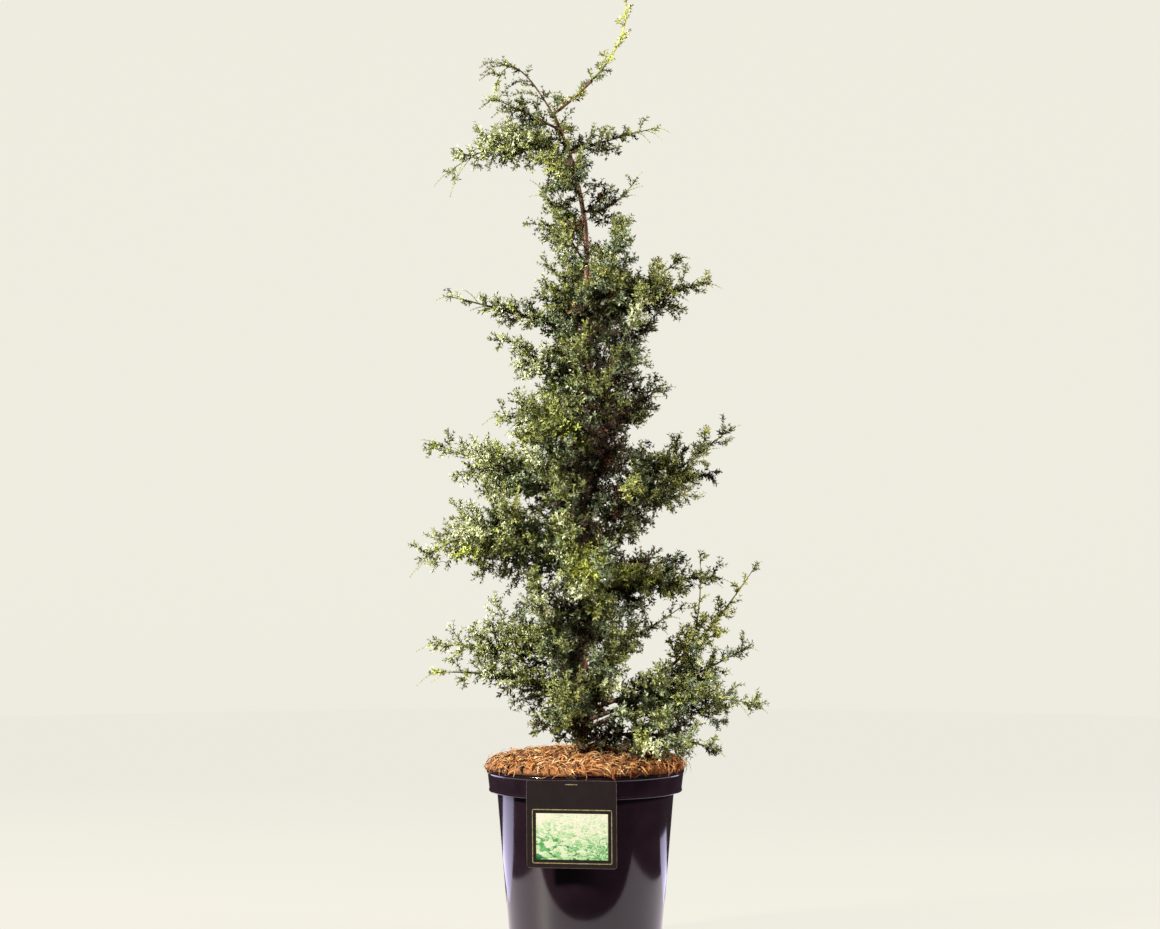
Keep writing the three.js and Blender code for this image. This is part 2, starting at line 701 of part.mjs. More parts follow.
// One mass of foliage: twigs wind round the stem by the golden angle, and sprays alternate along each twig.
// A twig or spray that would leave the mass's space or touch a limb, the mulch or the pot is skipped.
function massGeometry(limb) {
  const random = seeded(SEED + limb.index);
  const { curve, side, radiusAt, stemFrom, spread } = limb;
  const stemLength = limb.length * (1 - stemFrom);
  const pieces = [bentLimb(curve, side, [stemFrom, 1], radiusAt, STEM.sides, STEM.steps)];
  if (limb.core > 0) pieces.push(coreGeometry(limb, random));
  const count = Math.max(TWIG.fewest, Math.round(stemLength / TWIG.spacing));
  let turn = 2 * Math.PI * random();

  // Adds the largest of a few sizes that fits, and gives back its length, or nothing.
  const addLargest = (longest, make) => {
    for (const length of SIZES.map((size) => size * longest)) {
      const geometry = make(length);
      if (fits(geometry, limb.index)) {
        pieces.push(geometry);
        return length;
      }
    }
    return 0;
  };
  const addSpray = (foot, direction, longest) => {
    const roll = Math.PI * random();
    addLargest(longest, (length) => {
      const root = foot.clone().addScaledVector(direction, -SPRAY.sunk * length);
      return sprayGeometry(root, direction, length, roll);
    });
  };

  for (let i = 0; i < count; i++) {
    const along = (i + 0.5) / count;
    const at = THREE.MathUtils.lerp(stemFrom, 1, along);
    const root = curve.getPoint(at);
    turn += GOLDEN_ANGLE;
    const reach = spread * fullness(along) * (1 + TWIG.lengthSpread * (random() - 0.5));
    const sprayLength = limb.spray * (1 - limb.shrink * along) * (1 + SPRAY.lengthSpread * (random() - 0.5));
    const direction = branchDirection(heading(curve, at), turn, TWIG.angle, TWIG.lift);
    const wanted = reach - SPRAY.pastTwig * sprayLength;
    if (wanted < TWIG.shortest) {
      addSpray(root, direction, sprayLength);
      continue;
    }
    const twigLength = addLargest(wanted, (length) => twigGeometry(root, direction, length));
    addSpray(root.clone().addScaledVector(direction, twigLength), direction, sprayLength);
    const beside = Math.round(twigLength / SPRAY.spacing);
    for (let k = 0; k < beside; k++) {
      const spot = (twigLength * (k + SPRAY.firstSpot)) / (beside + 1 - SPRAY.firstSpot);
      const out = branchDirection(direction, turn + k * Math.PI, SPRAY.angle, SPRAY.lift);
      addSpray(root.clone().addScaledVector(direction, spot), out, SPRAY.besideShare * sprayLength);
    }
  }
  const forward = heading(curve, 1);
  const last = limb.spray * (1 - limb.shrink);
  addSpray(curve.getPoint(1).addScaledVector(forward, -SPRAY.endShare * last), forward, last);
  const whole = wasm.Manifold.union(pieces.map(solidFrom));
  return geometryFrom(whole.asOriginal().simplify(FACET).subtract(obstacles), 0.05);
}

const plant = new THREE.Group();
plant.add(named("pot", potGeometry(), MATERIALS.pot));
plant.add(named("potting_mix", soilGeometry(), MATERIALS.soil));
plant.add(named("coir_mulch", mulchGeometry(), MATERIALS.mulch));
plant.add(named("hanging_card", cardGeometry(), MATERIALS.card));
plant.add(named("trunk", geometryFrom(trunkSolid(0)), MATERIALS.bark));
for (const limb of limbs) {
  if (limb.bough > 0) {
    const bent = bentLimb(limb.curve, limb.side, [0, limb.bough], limb.radiusAt, LIMB.sides, LIMB.steps);
    const bough = geometryFrom(solidFrom(bent).subtract(grownTrunk));
    plant.add(named(`bough_${limb.name}`, bough, MATERIALS.bark));
  }
  const young = limb.name === "leader" || limb.name.startsWith("side_shoot");
  const material = young ? MATERIALS.shoot : MATERIALS.foliage;
  plant.add(named(`foliage_${limb.name}`, massGeometry(limb), material));
}

export default plant;
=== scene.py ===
"""An upright young juniper in a round nursery pot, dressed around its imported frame.

Sizes are in millimetres and angles in degrees unless a name says otherwise. They turn to metres
where a mesh is made. The crown grows by the same rule, table and seeds as the frame's solids,
carried on to fine twigs and needles within the same reach.
"""

import json
import logging
import math
from collections.abc import Sequence
from dataclasses import dataclass, field
from enum import Enum

import bmesh
import bpy
import numpy as np
from bpy.types import Material, Node, NodeSocket, NodeTree, Object
from mathutils import Matrix, Vector, noise

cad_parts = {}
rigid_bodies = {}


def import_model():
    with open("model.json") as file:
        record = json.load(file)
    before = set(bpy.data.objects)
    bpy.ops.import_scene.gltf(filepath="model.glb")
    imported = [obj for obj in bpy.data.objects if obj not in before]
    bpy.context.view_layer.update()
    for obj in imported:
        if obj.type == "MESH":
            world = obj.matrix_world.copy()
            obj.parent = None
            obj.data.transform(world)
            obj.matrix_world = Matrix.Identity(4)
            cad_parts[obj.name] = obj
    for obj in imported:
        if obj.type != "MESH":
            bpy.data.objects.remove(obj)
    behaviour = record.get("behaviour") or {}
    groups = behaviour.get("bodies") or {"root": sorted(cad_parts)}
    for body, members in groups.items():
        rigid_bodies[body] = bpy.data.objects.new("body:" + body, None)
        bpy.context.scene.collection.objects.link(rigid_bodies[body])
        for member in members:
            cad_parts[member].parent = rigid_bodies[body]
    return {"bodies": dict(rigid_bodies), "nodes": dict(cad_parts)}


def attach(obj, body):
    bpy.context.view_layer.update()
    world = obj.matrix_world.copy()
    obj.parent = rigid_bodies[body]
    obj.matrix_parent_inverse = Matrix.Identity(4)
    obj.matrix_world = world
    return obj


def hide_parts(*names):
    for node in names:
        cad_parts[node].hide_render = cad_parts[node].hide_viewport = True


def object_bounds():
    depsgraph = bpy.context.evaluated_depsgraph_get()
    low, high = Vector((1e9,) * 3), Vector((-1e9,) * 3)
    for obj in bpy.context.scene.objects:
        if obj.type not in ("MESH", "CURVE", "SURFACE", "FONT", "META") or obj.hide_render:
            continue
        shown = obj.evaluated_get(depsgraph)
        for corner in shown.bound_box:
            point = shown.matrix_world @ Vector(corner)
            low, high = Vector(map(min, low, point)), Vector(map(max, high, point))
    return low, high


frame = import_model()
CAD_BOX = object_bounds()

log = logging.getLogger("juniper")

MM = 0.001
FULL_TURN = math.tau
GOLDEN_ANGLE = math.pi * (3 - math.sqrt(5))
UP = Vector((0, 0, 1))


def lerp(start: float, end: float, share: float) -> float:
    """Gives the value that lies a share of the way from start to end."""
    return start + (end - start) * share


def linear(colour: str) -> tuple[float, float, float, float]:
    """Turns an sRGB hex colour to linear.

    Args:
        colour: The colour as "#rrggbb".

    Returns:
        Red, green, blue and an alpha of one.
    """
    values = [int(colour[i:i + 2], 16) / 255 for i in (1, 3, 5)]
    curve = [v / 12.92 if v <= 0.04045 else ((v + 0.055) / 1.055) ** 2.4 for v in values]
    return (*curve, 1.0)


def feed(tree: NodeTree, node: Node, links: dict) -> None:
    """Fills a node's inputs.

    Args:
        tree: The node's tree.
        node: The node.
        links: What goes into each input, by the input's name or place: a socket or a plain value.
    """
    for key, value in links.items():
        if isinstance(value, NodeSocket):
            tree.links.new(value, node.inputs[key])
        else:
            node.inputs[key].default_value = value


def add_node(tree: NodeTree, kind: str, links: dict | None = None, **settings) -> Node:
    """Adds a node with its settings and links.

    Args:
        tree: The tree that gets the node.
        kind: The node's type name.
        links: What goes into each of its inputs.
        settings: The node's own properties.

    Returns:
        The new node.
    """
    node = tree.nodes.new(kind)
    for name, value in settings.items():
        setattr(node, name, value)
    feed(tree, node, links or {})
    return node


@dataclass(frozen=True)
class Patches:
    """A cloudy pattern on the object's own coordinates, its size in millimetres."""

    size: float
    detail: float = 4
    stretch: tuple[float, float, float] = (1, 1, 1)

    def add(self, tree: NodeTree) -> NodeSocket:
        """Adds the pattern to a material.

        Args:
            tree: The material's tree.

        Returns:
            The pattern's value.
        """
        own = add_node(tree, "ShaderNodeTexCoord").outputs["Object"]
        scale = [1 / (self.size * MM * along) for along in self.stretch]
        place = add_node(tree, "ShaderNodeMapping", {"Vector": own, "Scale": scale}).outputs["Vector"]
        links = {"Vector": place, "Scale": 1.0, "Detail": self.detail}
        return add_node(tree, "ShaderNodeTexNoise", links).outputs["Fac"]


@dataclass(frozen=True)
class Relief:
    """A fine relief: its pattern, how high it stands and how strongly it shows."""

    patches: Patches
    height: float
    strength: float


@dataclass(frozen=True)
class Finish:
    """A material of one shader. Each kind of finish says what goes into the shader's inputs."""

    name: str

    def surface(self, tree: NodeTree) -> dict:
        """Gives what goes into each of the shader's inputs."""
        raise NotImplementedError

    def make(self) -> Material:
        """Makes the material.

        Returns:
            The material.
        """
        material = bpy.data.materials.new(self.name)
        material.use_nodes = True
        tree = material.node_tree
        feed(tree, tree.nodes["Principled BSDF"], self.surface(tree))
        return material


@dataclass(frozen=True)
class Toned(Finish):
    """A finish whose colour runs through its tones by a pattern, with reliefs that lie on one another."""

    colours: tuple[str, ...]
    places: tuple[float, ...] = (0.3, 0.7)
    patches: Patches = Patches(5)
    reliefs: tuple[Relief, ...] = ()
    roughness: float = 0.5
    refraction: float = 1.5

    def pattern(self, tree: NodeTree) -> NodeSocket:
        """Gives the value that the tones follow."""
        return self.patches.add(tree)

    def surface(self, tree: NodeTree) -> dict:
        """Runs the tones along a ramp and stacks the reliefs.

        Args:
            tree: The material's tree.

        Returns:
            What goes into each of the shader's inputs.
        """
        ramp = add_node(tree, "ShaderNodeValToRGB", {"Fac": self.pattern(tree)})
        elements = ramp.color_ramp.elements
        while len(elements) < len(self.colours):
            elements.new(0.5)
        for element, position, colour in zip(elements, self.places, self.colours):
            element.position = position
            element.color = linear(colour)
        below = {}
        for relief in self.reliefs:
            bump = add_node(tree, "ShaderNodeBump", {
                "Height": relief.patches.add(tree), "Distance": relief.height * MM,
                "Strength": relief.strength, **below})
            below = {"Normal": bump.outputs["Normal"]}
        return {"Base Color": ramp.outputs["Color"], "Roughness": self.roughness, "IOR": self.refraction,
                **below}


@dataclass(frozen=True)
class GlossPolypropylene(Toned):
    """Injection-moulded black polypropylene with a plum cast, polished by its mould.

    It gives hard reflections that break up a little where the wall is uneven, and upright drag lines,
    drawn coarser than real ones so that they show.
    """

    name: str = "gloss_polypropylene"
    colours: tuple[str, ...] = ("#1a1018", "#251822")
    places: tuple[float, ...] = (0.3, 0.75)
    patches: Patches = Patches(22)
    reliefs: tuple[Relief, ...] = (Relief(Patches(1.6, stretch=(1, 1, 40)), 0.06, 0.5),
                                   Relief(Patches(34, 1, (1, 1, 2)), 0.5, 0.6))
    roughness: float = 0.07
    refraction: float = 1.49
    smudges: Patches = Patches(30, 6)
    wiped: float = 0.03
    smeared: float = 0.08
    coat: float = 0.25
    coat_roughness: float = 0.12

    def surface(self, tree: NodeTree) -> dict:
        """Adds the smudges in the gloss and the thin clear skin.

        Args:
            tree: The material's tree.

        Returns:
            What goes into each of the shader's inputs.
        """
        rough = add_node(tree, "ShaderNodeMapRange", {
            "Value": self.smudges.add(tree), "To Min": self.roughness - self.wiped,
            "To Max": self.roughness + self.smeared})
        return {**super().surface(tree), "Roughness": rough.outputs["Result"],
                "Coat Weight": self.coat, "Coat Roughness": self.coat_roughness}


@dataclass(frozen=True)
class PrintedCard(Toned):
    """Dark printed card stock with a semi-matt varnish, which gives a soft sheen and a fine tooth.

    The tooth is drawn coarser than a real card's, so that it shows.
    """

    name: str = "varnished_card"
    colours: tuple[str, ...] = ("#181113", "#21181a")
    places: tuple[float, ...] = (0.3, 0.75)
    patches: Patches = Patches(9)
    reliefs: tuple[Relief, ...] = (Relief(Patches(0.5), 0.03, 0.4),)
    roughness: float = 0.46


@dataclass(frozen=True)
class InkLine(Toned):
    """A line of pale ink on the card, slightly worn."""

    name: str = "olive_ink"
    colours: tuple[str, ...] = ("#857b52", "#b4ab7e")
    places: tuple[float, ...] = (0.35, 0.65)
    patches: Patches = Patches(3)
    roughness: float = 0.4


@dataclass(frozen=True)
class MottledPrint(Toned):
    """A printed panel: pale at the top and mottled with greens further down, on the panel's own map."""

    name: str = "mottled_green_print"
    colours: tuple[str, ...] = ("#1f6340", "#62ab68", "#a6d39a", "#dbeacb", "#efecdf")
    places: tuple[float, ...] = tuple(0.24 + 0.15 * i for i in range(5))
    roughness: float = 0.35
    leaves_across: float = 24
    blotches_across: float = 9
    bend: float = 0.12
    paler_upwards: float = 0.95
    blotch_weight: float = 0.9
    contrast: float = 0.46

    def pattern(self, tree: NodeTree) -> NodeSocket:
        """Mixes cells of leaves, soft blotches and the height on the panel.

        Args:
            tree: The material's tree.

        Returns:
            The value that the tones follow.
        """
        place = add_node(tree, "ShaderNodeUVMap", uv_map="panel").outputs["UV"]
        blotches = add_node(tree, "ShaderNodeTexNoise", {
            "Vector": place, "Scale": self.blotches_across, "Detail": 3.0})
        bent = add_node(tree, "ShaderNodeVectorMath", {
            0: place, 1: blotches.outputs["Color"], 2: (self.bend, self.bend, 0)}, operation="MULTIPLY_ADD")
        cells = add_node(tree, "ShaderNodeTexVoronoi", {
            "Vector": bent.outputs[0], "Scale": self.leaves_across, "Randomness": 1.0})
        height = add_node(tree, "ShaderNodeSeparateXYZ", {0: place}).outputs["Y"]
        cell = add_node(tree, "ShaderNodeSeparateColor", {0: cells.outputs["Color"]}).outputs[0]
        raised = add_node(tree, "ShaderNodeMath", {
            0: height, 1: self.paler_upwards, 2: cell}, operation="MULTIPLY_ADD")
        links = {0: blotches.outputs["Fac"], 1: self.blotch_weight, 2: raised.outputs[0]}
        mixed = add_node(tree, "ShaderNodeMath", links, operation="MULTIPLY_ADD")
        links = {0: mixed.outputs[0], 1: self.contrast}
        return add_node(tree, "ShaderNodeMath", links, operation="MULTIPLY").outputs[0]


@dataclass(frozen=True)
class CoirFibre(Toned):
    """Shredded coconut husk: dry, dull and fibrous, its tone varying in patches.

    The fibres in it are drawn coarser than real ones, so that they show.
    """

    patches: Patches = Patches(4, 5)
    reliefs: tuple[Relief, ...] = (Relief(Patches(0.7, 2), 0.4, 0.7),)
    roughness: float = 0.82


@dataclass(frozen=True)
class JuniperBark(Toned):
    """Young juniper bark: thin, red-brown, peeling upwards in papery grey-pink strips."""

    name: str = "juniper_bark"
    colours: tuple[str, ...] = ("#33231d", "#63483a", "#9c7d6a")
    places: tuple[float, ...] = (0.3, 0.5, 0.72)
    patches: Patches = Patches(2.2, 6, (1, 1, 9))
    reliefs: tuple[Relief, ...] = (Relief(Patches(2.2, 6, (1, 1, 9)), 0.5, 0.8),)
    roughness: float = 0.8


@dataclass(frozen=True)
class TwigSkin(Toned):
    """The smooth skin of young wood, which runs from one tone to another in patches."""

    places: tuple[float, ...] = (0.35, 0.68)
    patches: Patches = Patches(7, stretch=(1, 1, 3))
    roughness: float = 0.6


@dataclass(frozen=True)
class NeedleSkin(Toned):
    """The waxy skin of juniper needles, with a satin gloss and a faint bloom that varies in patches."""

    places: tuple[float, ...] = (0.34, 0.66)
    patches: Patches = Patches(6, 2)
    roughness: float = 0.4
    refraction: float = 1.45


@dataclass(frozen=True)
class PeatMix(Toned):
    """Moist peat and bark fines: dark, dull crumbs, seen only through the drain holes."""

    name: str = "peat_mix"
    colours: tuple[str, ...] = ("#150e0a", "#3a281c")
    patches: Patches = Patches(3, 6)
    reliefs: tuple[Relief, ...] = (Relief(Patches(3, 6), 1.5, 0.8),)
    roughness: float = 0.95


@dataclass(frozen=True)
class SeamlessPaper(Finish):
    """The pale seamless paper of the studio. It glows a little, so that it stays even behind the plant."""

    name: str = "seamless_paper"
    colour: str = "#f1eee3"
    glow: float = 0.95
    reflects: float = 0.04

    def surface(self, tree: NodeTree) -> dict:
        """Gives a dull sheet with a glow of its own.

        Args:
            tree: The material's tree. Not used.

        Returns:
            What goes into each of the shader's inputs.
        """
        tone = linear(self.colour)
        dull = (*(self.reflects * channel for channel in tone[:3]), 1)
        return {"Base Color": dull, "Roughness": 1.0, "Specular IOR Level": 0.0,
                "Emission Color": tone, "Emission Strength": self.glow}


@dataclass(frozen=True)
class GlowingBoard(Finish):
    """A black board that only glows, so that it shows as a soft reflection in the pot."""

    colour: str
    glow: float

    def surface(self, tree: NodeTree) -> dict:
        """Gives a black surface with a glow of its own."""
        return {"Base Color": (0, 0, 0, 1), "Emission Color": linear(self.colour),
                "Emission Strength": self.glow}


def add_object(name: str, data: bpy.types.ID) -> Object:
    """Links a mesh, light or camera to the scene as an object at the origin.

    Args:
        name: The object's name.
        data: The mesh, light or camera.

    Returns:
        The new object.
    """
    thing = bpy.data.objects.new(name, data)
    bpy.context.scene.collection.objects.link(thing)
    return thing


def build_object(name: str, points: Sequence, faces: Sequence, material: Material,
                 smooth: bool = True) -> Object:
    """Makes an object at the origin from points in millimetres.

    Args:
        name: The object's name.
        points: The x, y and z of each corner.
        faces: The corners of each face.
        material: Its finish.
        smooth: True for smooth shading.

    Returns:
        The new object.
    """
    mesh = bpy.data.meshes.new(name)
    mesh.from_pydata((np.asarray(points) * MM).tolist(), [], faces)
    mesh.materials.append(material)
    if smooth:
        mesh.shade_smooth()
    return add_object(name, mesh)


def present(thing: Object, slot: str, *nodes: str) -> None:
    """Hands a finished piece over: it rides with the pot and stands for solids of the frame.

    Args:
        thing: The finished piece.
        slot: The record's material slot. Not used.
        nodes: The frame's nodes that it stands for.
    """
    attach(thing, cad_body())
    if nodes:
        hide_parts(*nodes)
    thing.data.calc_loop_triangles()
    log.info("%s: %d triangles", thing.name, len(thing.data.loop_triangles))


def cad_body() -> str:
    """Names the frame's only body."""
    return next(iter(frame["bodies"]))


def dress(node: str, material: Material) -> None:
    """Gives a solid of the frame a finish.

    Args:
        node: The node's name.
        material: Its finish.
    """
    materials = frame["nodes"][node].data.materials
    materials.clear()
    materials.append(material)


def tube_faces(count: int, length: int, sides: int) -> list[list[int]]:
    """Gives the faces of closed tubes whose corners run ring by ring.

    Args:
        count: How many tubes there are.
        length: How many rings a tube has.
        sides: How many corners a ring has.

    Returns:
        The corners of each face.
    """
    base = (np.arange(count) * length * sides)[:, None, None]
    ring = base + (np.arange(length - 1) * sides)[None, :, None]
    here = np.arange(sides)
    after = (here + 1) % sides
    walls = np.stack([ring + here, ring + after, ring + after + sides, ring + here + sides], 3)
    foot = base[:, 0] + here[::-1]
    tip = base[:, 0] + (length - 1) * sides + here
    return walls.reshape(-1, 4).tolist() + foot.tolist() + tip.tolist()


def turned(name: str, profile: Sequence[tuple[float, float]], sides: int, material: Material) -> Object:
    """Turns a closed profile about the upright axis.

    Args:
        name: The object's name.
        profile: Pairs of a radius and a height. The first and last lie on the axis.
        sides: How many steps go round.
        material: Its finish.

    Returns:
        The turned object.
    """
    angles = np.arange(sides) * FULL_TURN / sides
    ring = np.stack([np.cos(angles), np.sin(angles)], 1)
    inner = profile[1:-1]
    points = [[0, 0, profile[0][1]]]
    for radius, height in inner:
        points += [[radius * x, radius * y, height] for x, y in ring]
    points.append([0, 0, profile[-1][1]])
    last = len(points) - 1
    faces = []
    for i in range(sides):
        j = (i + 1) % sides
        faces.append([0, 1 + j, 1 + i])
        for k in range(len(inner) - 1):
            a = 1 + k * sides
            faces.append([a + i, a + j, a + sides + j, a + sides + i])
        a = 1 + (len(inner) - 1) * sides
        faces.append([a + i, a + j, last])
    return build_object(name, points, faces, material)


def rounded(corners: Sequence[tuple[float, float, float]], steps: int = 5) -> list[tuple[float, float]]:
    """Rounds the corners of an outline.

    Args:
        corners: Each corner's two coordinates and how far its rounding reaches.
        steps: How many points one rounding has.

    Returns:
        The outline's points.
    """
    outline = []
    for i, (x, y, reach) in enumerate(corners):
        here = Vector((x, y))
        if reach <= 0 or i in (0, len(corners) - 1):
            outline.append((x, y))
            continue
        before = Vector(corners[i - 1][:2]) - here
        after = Vector(corners[i + 1][:2]) - here
        start = here + before.normalized() * min(reach, before.length / 2)
        end = here + after.normalized() * min(reach, after.length / 2)
        for k in range(steps + 1):
            t = k / steps
            point = start * (1 - t) ** 2 + here * (2 * t * (1 - t)) + end * t ** 2
            outline.append((point.x, point.y))
    return outline


def cut_away(target: Object, tool: Object) -> None:
    """Cuts one object's shape out of another, and removes it.

    Args:
        target: The object that is cut.
        tool: The object that is used up.
    """
    step = target.modifiers.new("cut", "BOOLEAN")
    step.operation = "DIFFERENCE"
    step.solver = "EXACT"
    step.object = tool
    evaluated = target.evaluated_get(bpy.context.evaluated_depsgraph_get())
    mesh = bpy.data.meshes.new_from_object(evaluated)
    target.modifiers.remove(step)
    old = target.data
    target.data = mesh
    bpy.data.meshes.remove(old)
    bpy.data.objects.remove(tool, do_unlink=True)


@dataclass
class NurseryPot:
    """The tapered pot under its upright collar, with a rolled lip, a stepped foot and drain holes."""

    height: float = 208
    rim_radius: float = 115
    collar_foot_radius: float = 112.5
    collar_height: float = 25
    body_top_radius: float = 103
    base_radius: float = 87.5
    wall: float = 2
    floor: float = 3
    lip: float = 1.0
    drain_count: int = 6
    drain_radius: float = 5
    drain_ring: float = 66
    foot_rise: float = 1.2
    foot_width: float = 9
    sides: int = 180
    finish: GlossPolypropylene = field(default_factory=GlossPolypropylene)

    def profile(self) -> list[tuple[float, float]]:
        """Gives the wall's outline, from the middle of the underside round to the middle of the floor.

        Returns:
            Pairs of a radius and a height.
        """
        ledge = self.height - self.collar_height
        inner_top = self.rim_radius - self.wall
        return rounded([
            (0, self.foot_rise, 0),
            (self.base_radius - self.foot_width, self.foot_rise, 1),
            (self.base_radius - self.foot_width + 1.5, 0, 0.6),
            (self.base_radius, 0, 2.5),
            (self.body_top_radius, ledge, 1.2),
            (self.collar_foot_radius, ledge, 1.6),
            (self.collar_foot_radius + 0.1, ledge + 2.2, 0.6),
            (self.collar_foot_radius - 0.5, ledge + 3.2, 0.6),
            (self.rim_radius - 0.9, self.height - 4.2, 0.6),
            (self.rim_radius, self.height - 3.2, 0.6),
            (self.rim_radius, self.height, self.lip),
            (inner_top, self.height, self.lip),
            (self.collar_foot_radius - self.wall, ledge + self.wall, 1.2),
            (self.body_top_radius - self.wall, ledge + self.wall, 1.2),
            (self.base_radius - self.wall, self.floor, 1.5),
            (0, self.floor, 0),
        ])

    def build(self) -> None:
        """Builds the pot with its drain holes."""
        pot = turned("nursery_pot", self.profile(), self.sides, self.finish.make())
        for i in range(self.drain_count):
            angle = i * FULL_TURN / self.drain_count
            place = (self.drain_ring * MM * math.cos(angle), self.drain_ring * MM * math.sin(angle), 0)
            bpy.ops.mesh.primitive_cylinder_add(
                vertices=32, radius=self.drain_radius * MM, depth=4 * self.floor * MM, location=place)
            cut_away(pot, bpy.context.object)
        present(pot, "pot", "pot")


@dataclass(frozen=True)
class Husk:
    """One kind of loose husk on the mulch: its finish, its size and how many lie on a square metre.

    The kinds are a little wider than real fibres, so that they show.
    """

    name: str
    colours: tuple[str, str]
    length: float
    width: float
    thickness: float
    bow: float
    density: float
    seed: int
    steps: int = 5
    slimmest: float = 0.12
    slimming: float = 0.6
    sway: float = 0.2

    def strip(self, finish: Material) -> Object:
        """Builds one bowed strip along x, as a template for the scattered ones.

        Args:
            finish: Its finish.

        Returns:
            The strip.
        """
        points = []
        for i in range(self.steps + 1):
            share = i / self.steps
            arch = math.sin(math.pi * share)
            slim = max(self.slimmest, arch ** self.slimming)
            x = self.length * (share - 0.5)
            y = self.sway * self.bow * math.sin(self.steps * share)
            z = self.bow * arch
            for side, lift in ((-0.5, 0), (0, 0.5), (0.5, 0), (0, -0.5)):
                points.append([x, y + side * self.width * slim, z + lift * self.thickness * slim])
        faces = tube_faces(1, self.steps + 1, 4)
        return build_object(f"{self.name}_one", points, faces, finish, smooth=False)


@dataclass
class CoirMulch:
    """A domed layer of shredded coir that spills a little over the rim."""

    pot: NurseryPot
    overhang: float = 1.5
    edge_rise: float = 2.5
    crown: float = 18.5
    shoulder: float = 2.4
    bed_inset: float = 2
    bed_sunk: float = 0.5
    bed_under: float = 1.2
    bed_depth: float = 12
    wall_gap: float = 1
    lumps: float = 2.6
    lump_size: float = 9
    rings: int = 44
    sides: int = 132
    kinds: tuple[Husk, ...] = (
        Husk("coir_orange", ("#9a5a2a", "#d49452"), 15, 2.2, 1.0, 3.0, 12000, 11),
        Husk("coir_tan", ("#bf935f", "#ecd0a0"), 16.5, 1.7, 0.8, 3.2, 8000, 12),
        Husk("coir_dark", ("#26130d", "#54301f"), 15, 2.8, 1.2, 2.4, 9500, 13),
        Husk("coir_rust_strips", ("#6a3c1e", "#b06c38"), 18, 1.9, 0.9, 3.2, 10000, 14),
        Husk("coir_strands", ("#a87244", "#e8c08c"), 26, 0.7, 0.6, 6.0, 9000, 15),
    )

    def top(self, radius: float) -> float:
        """Gives the smooth dome's height.

        Args:
            radius: The distance from the axis.

        Returns:
            The height over the ground.
        """
        share = min(1.0, radius / (self.pot.rim_radius + self.overhang))
        dome = math.sqrt(max(0.0, 1 - share ** self.shoulder))
        return self.pot.height + self.edge_rise + self.crown * dome

    def bed(self, material: Material) -> Object:
        """Builds the closed, uneven bed that the loose fibres lie on.

        Args:
            material: Its finish.

        Returns:
            The bed.
        """
        edge = self.pot.rim_radius + self.overhang - self.bed_inset
        inside = self.pot.rim_radius - self.pot.wall - self.wall_gap
        under = self.pot.height + self.bed_under
        low = self.pot.height - self.bed_depth
        profile = [(0, low), (inside, low), (inside, under), (edge, under)]
        for i in range(self.rings, -1, -1):
            radius = edge * i / self.rings
            profile.append((radius, self.top(radius) - self.bed_sunk))
        bed = turned("coir_bed", profile, self.sides, material)
        for vertex in bed.data.vertices:
            spot = vertex.co / MM
            if spot.z > under + 0.1:
                rough = noise.fractal(Vector((spot.x, spot.y, 0)) / self.lump_size, 1.0, 2.0, 3)
                vertex.co.z += self.lumps * rough * MM
                vertex.co.z = max(vertex.co.z, (under + 0.2) * MM)
        return bed

    def build(self) -> None:
        """Builds the bed and scatters every kind of husk over it."""
        bed = self.bed(CoirFibre("coir_rust", ("#4d2b18", "#a26a3a")).make())
        tree = scatter_tree()
        for kind in self.kinds:
            finish = CoirFibre(kind.name, kind.colours).make()
            template = kind.strip(finish)
            settings = {"Strip": template, "Density": float(kind.density), "Seed": kind.seed,
                        "Finish": finish}
            strips = from_nodes(kind.name, bed, tree, settings)
            bpy.data.objects.remove(template, do_unlink=True)
            present(strips, "coir_mulch", "coir_mulch")
        present(bed, "coir_mulch", "coir_mulch")


def from_nodes(name: str, source: Object, tree: NodeTree, settings: dict) -> Object:
    """Runs a node tree on an object and keeps the result as a plain mesh of its own.

    Args:
        name: The new object's name.
        source: The object that the tree starts from. It stays as it is.
        tree: The node tree.
        settings: The value of each of the tree's named inputs.

    Returns:
        The new object, at the origin.
    """
    step = source.modifiers.new("grow", "NODES")
    step.node_group = tree
    sockets = {item.name: item.identifier for item in tree.interface.items_tree if item.in_out == "INPUT"}
    for key, value in settings.items():
        step[sockets[key]] = value
    source.update_tag()
    graph = bpy.context.evaluated_depsgraph_get()
    mesh = bpy.data.meshes.new_from_object(source.evaluated_get(graph))
    source.modifiers.remove(step)
    mesh.name = name
    return add_object(name, mesh)


def new_tree(name: str, inputs: Sequence[tuple[str, str]]) -> tuple:
    """Starts a geometry tree with named inputs.

    Args:
        name: The tree's name.
        inputs: Each further input's name and socket type.

    Returns:
        The tree, its input node and its output node.
    """
    tree = bpy.data.node_groups.new(name, "GeometryNodeTree")
    tree.interface.new_socket("Geometry", in_out="INPUT", socket_type="NodeSocketGeometry")
    for label, kind in inputs:
        tree.interface.new_socket(label, in_out="INPUT", socket_type=kind)
    tree.interface.new_socket("Geometry", in_out="OUTPUT", socket_type="NodeSocketGeometry")
    return tree, tree.nodes.new("NodeGroupInput"), tree.nodes.new("NodeGroupOutput")


def finish_tree(tree: NodeTree, instances: NodeSocket, finish: NodeSocket,
                end: Node) -> None:
    """Ends a tree: the instances become real and take their finish.

    Args:
        tree: The geometry tree.
        instances: What the tree has made.
        finish: The material socket.
        end: The tree's output node.
    """
    real = add_node(tree, "GeometryNodeRealizeInstances", {"Geometry": instances})
    dressed = add_node(tree, "GeometryNodeSetMaterial", {"Geometry": real.outputs[0], "Material": finish})
    tree.links.new(dressed.outputs[0], end.inputs[0])


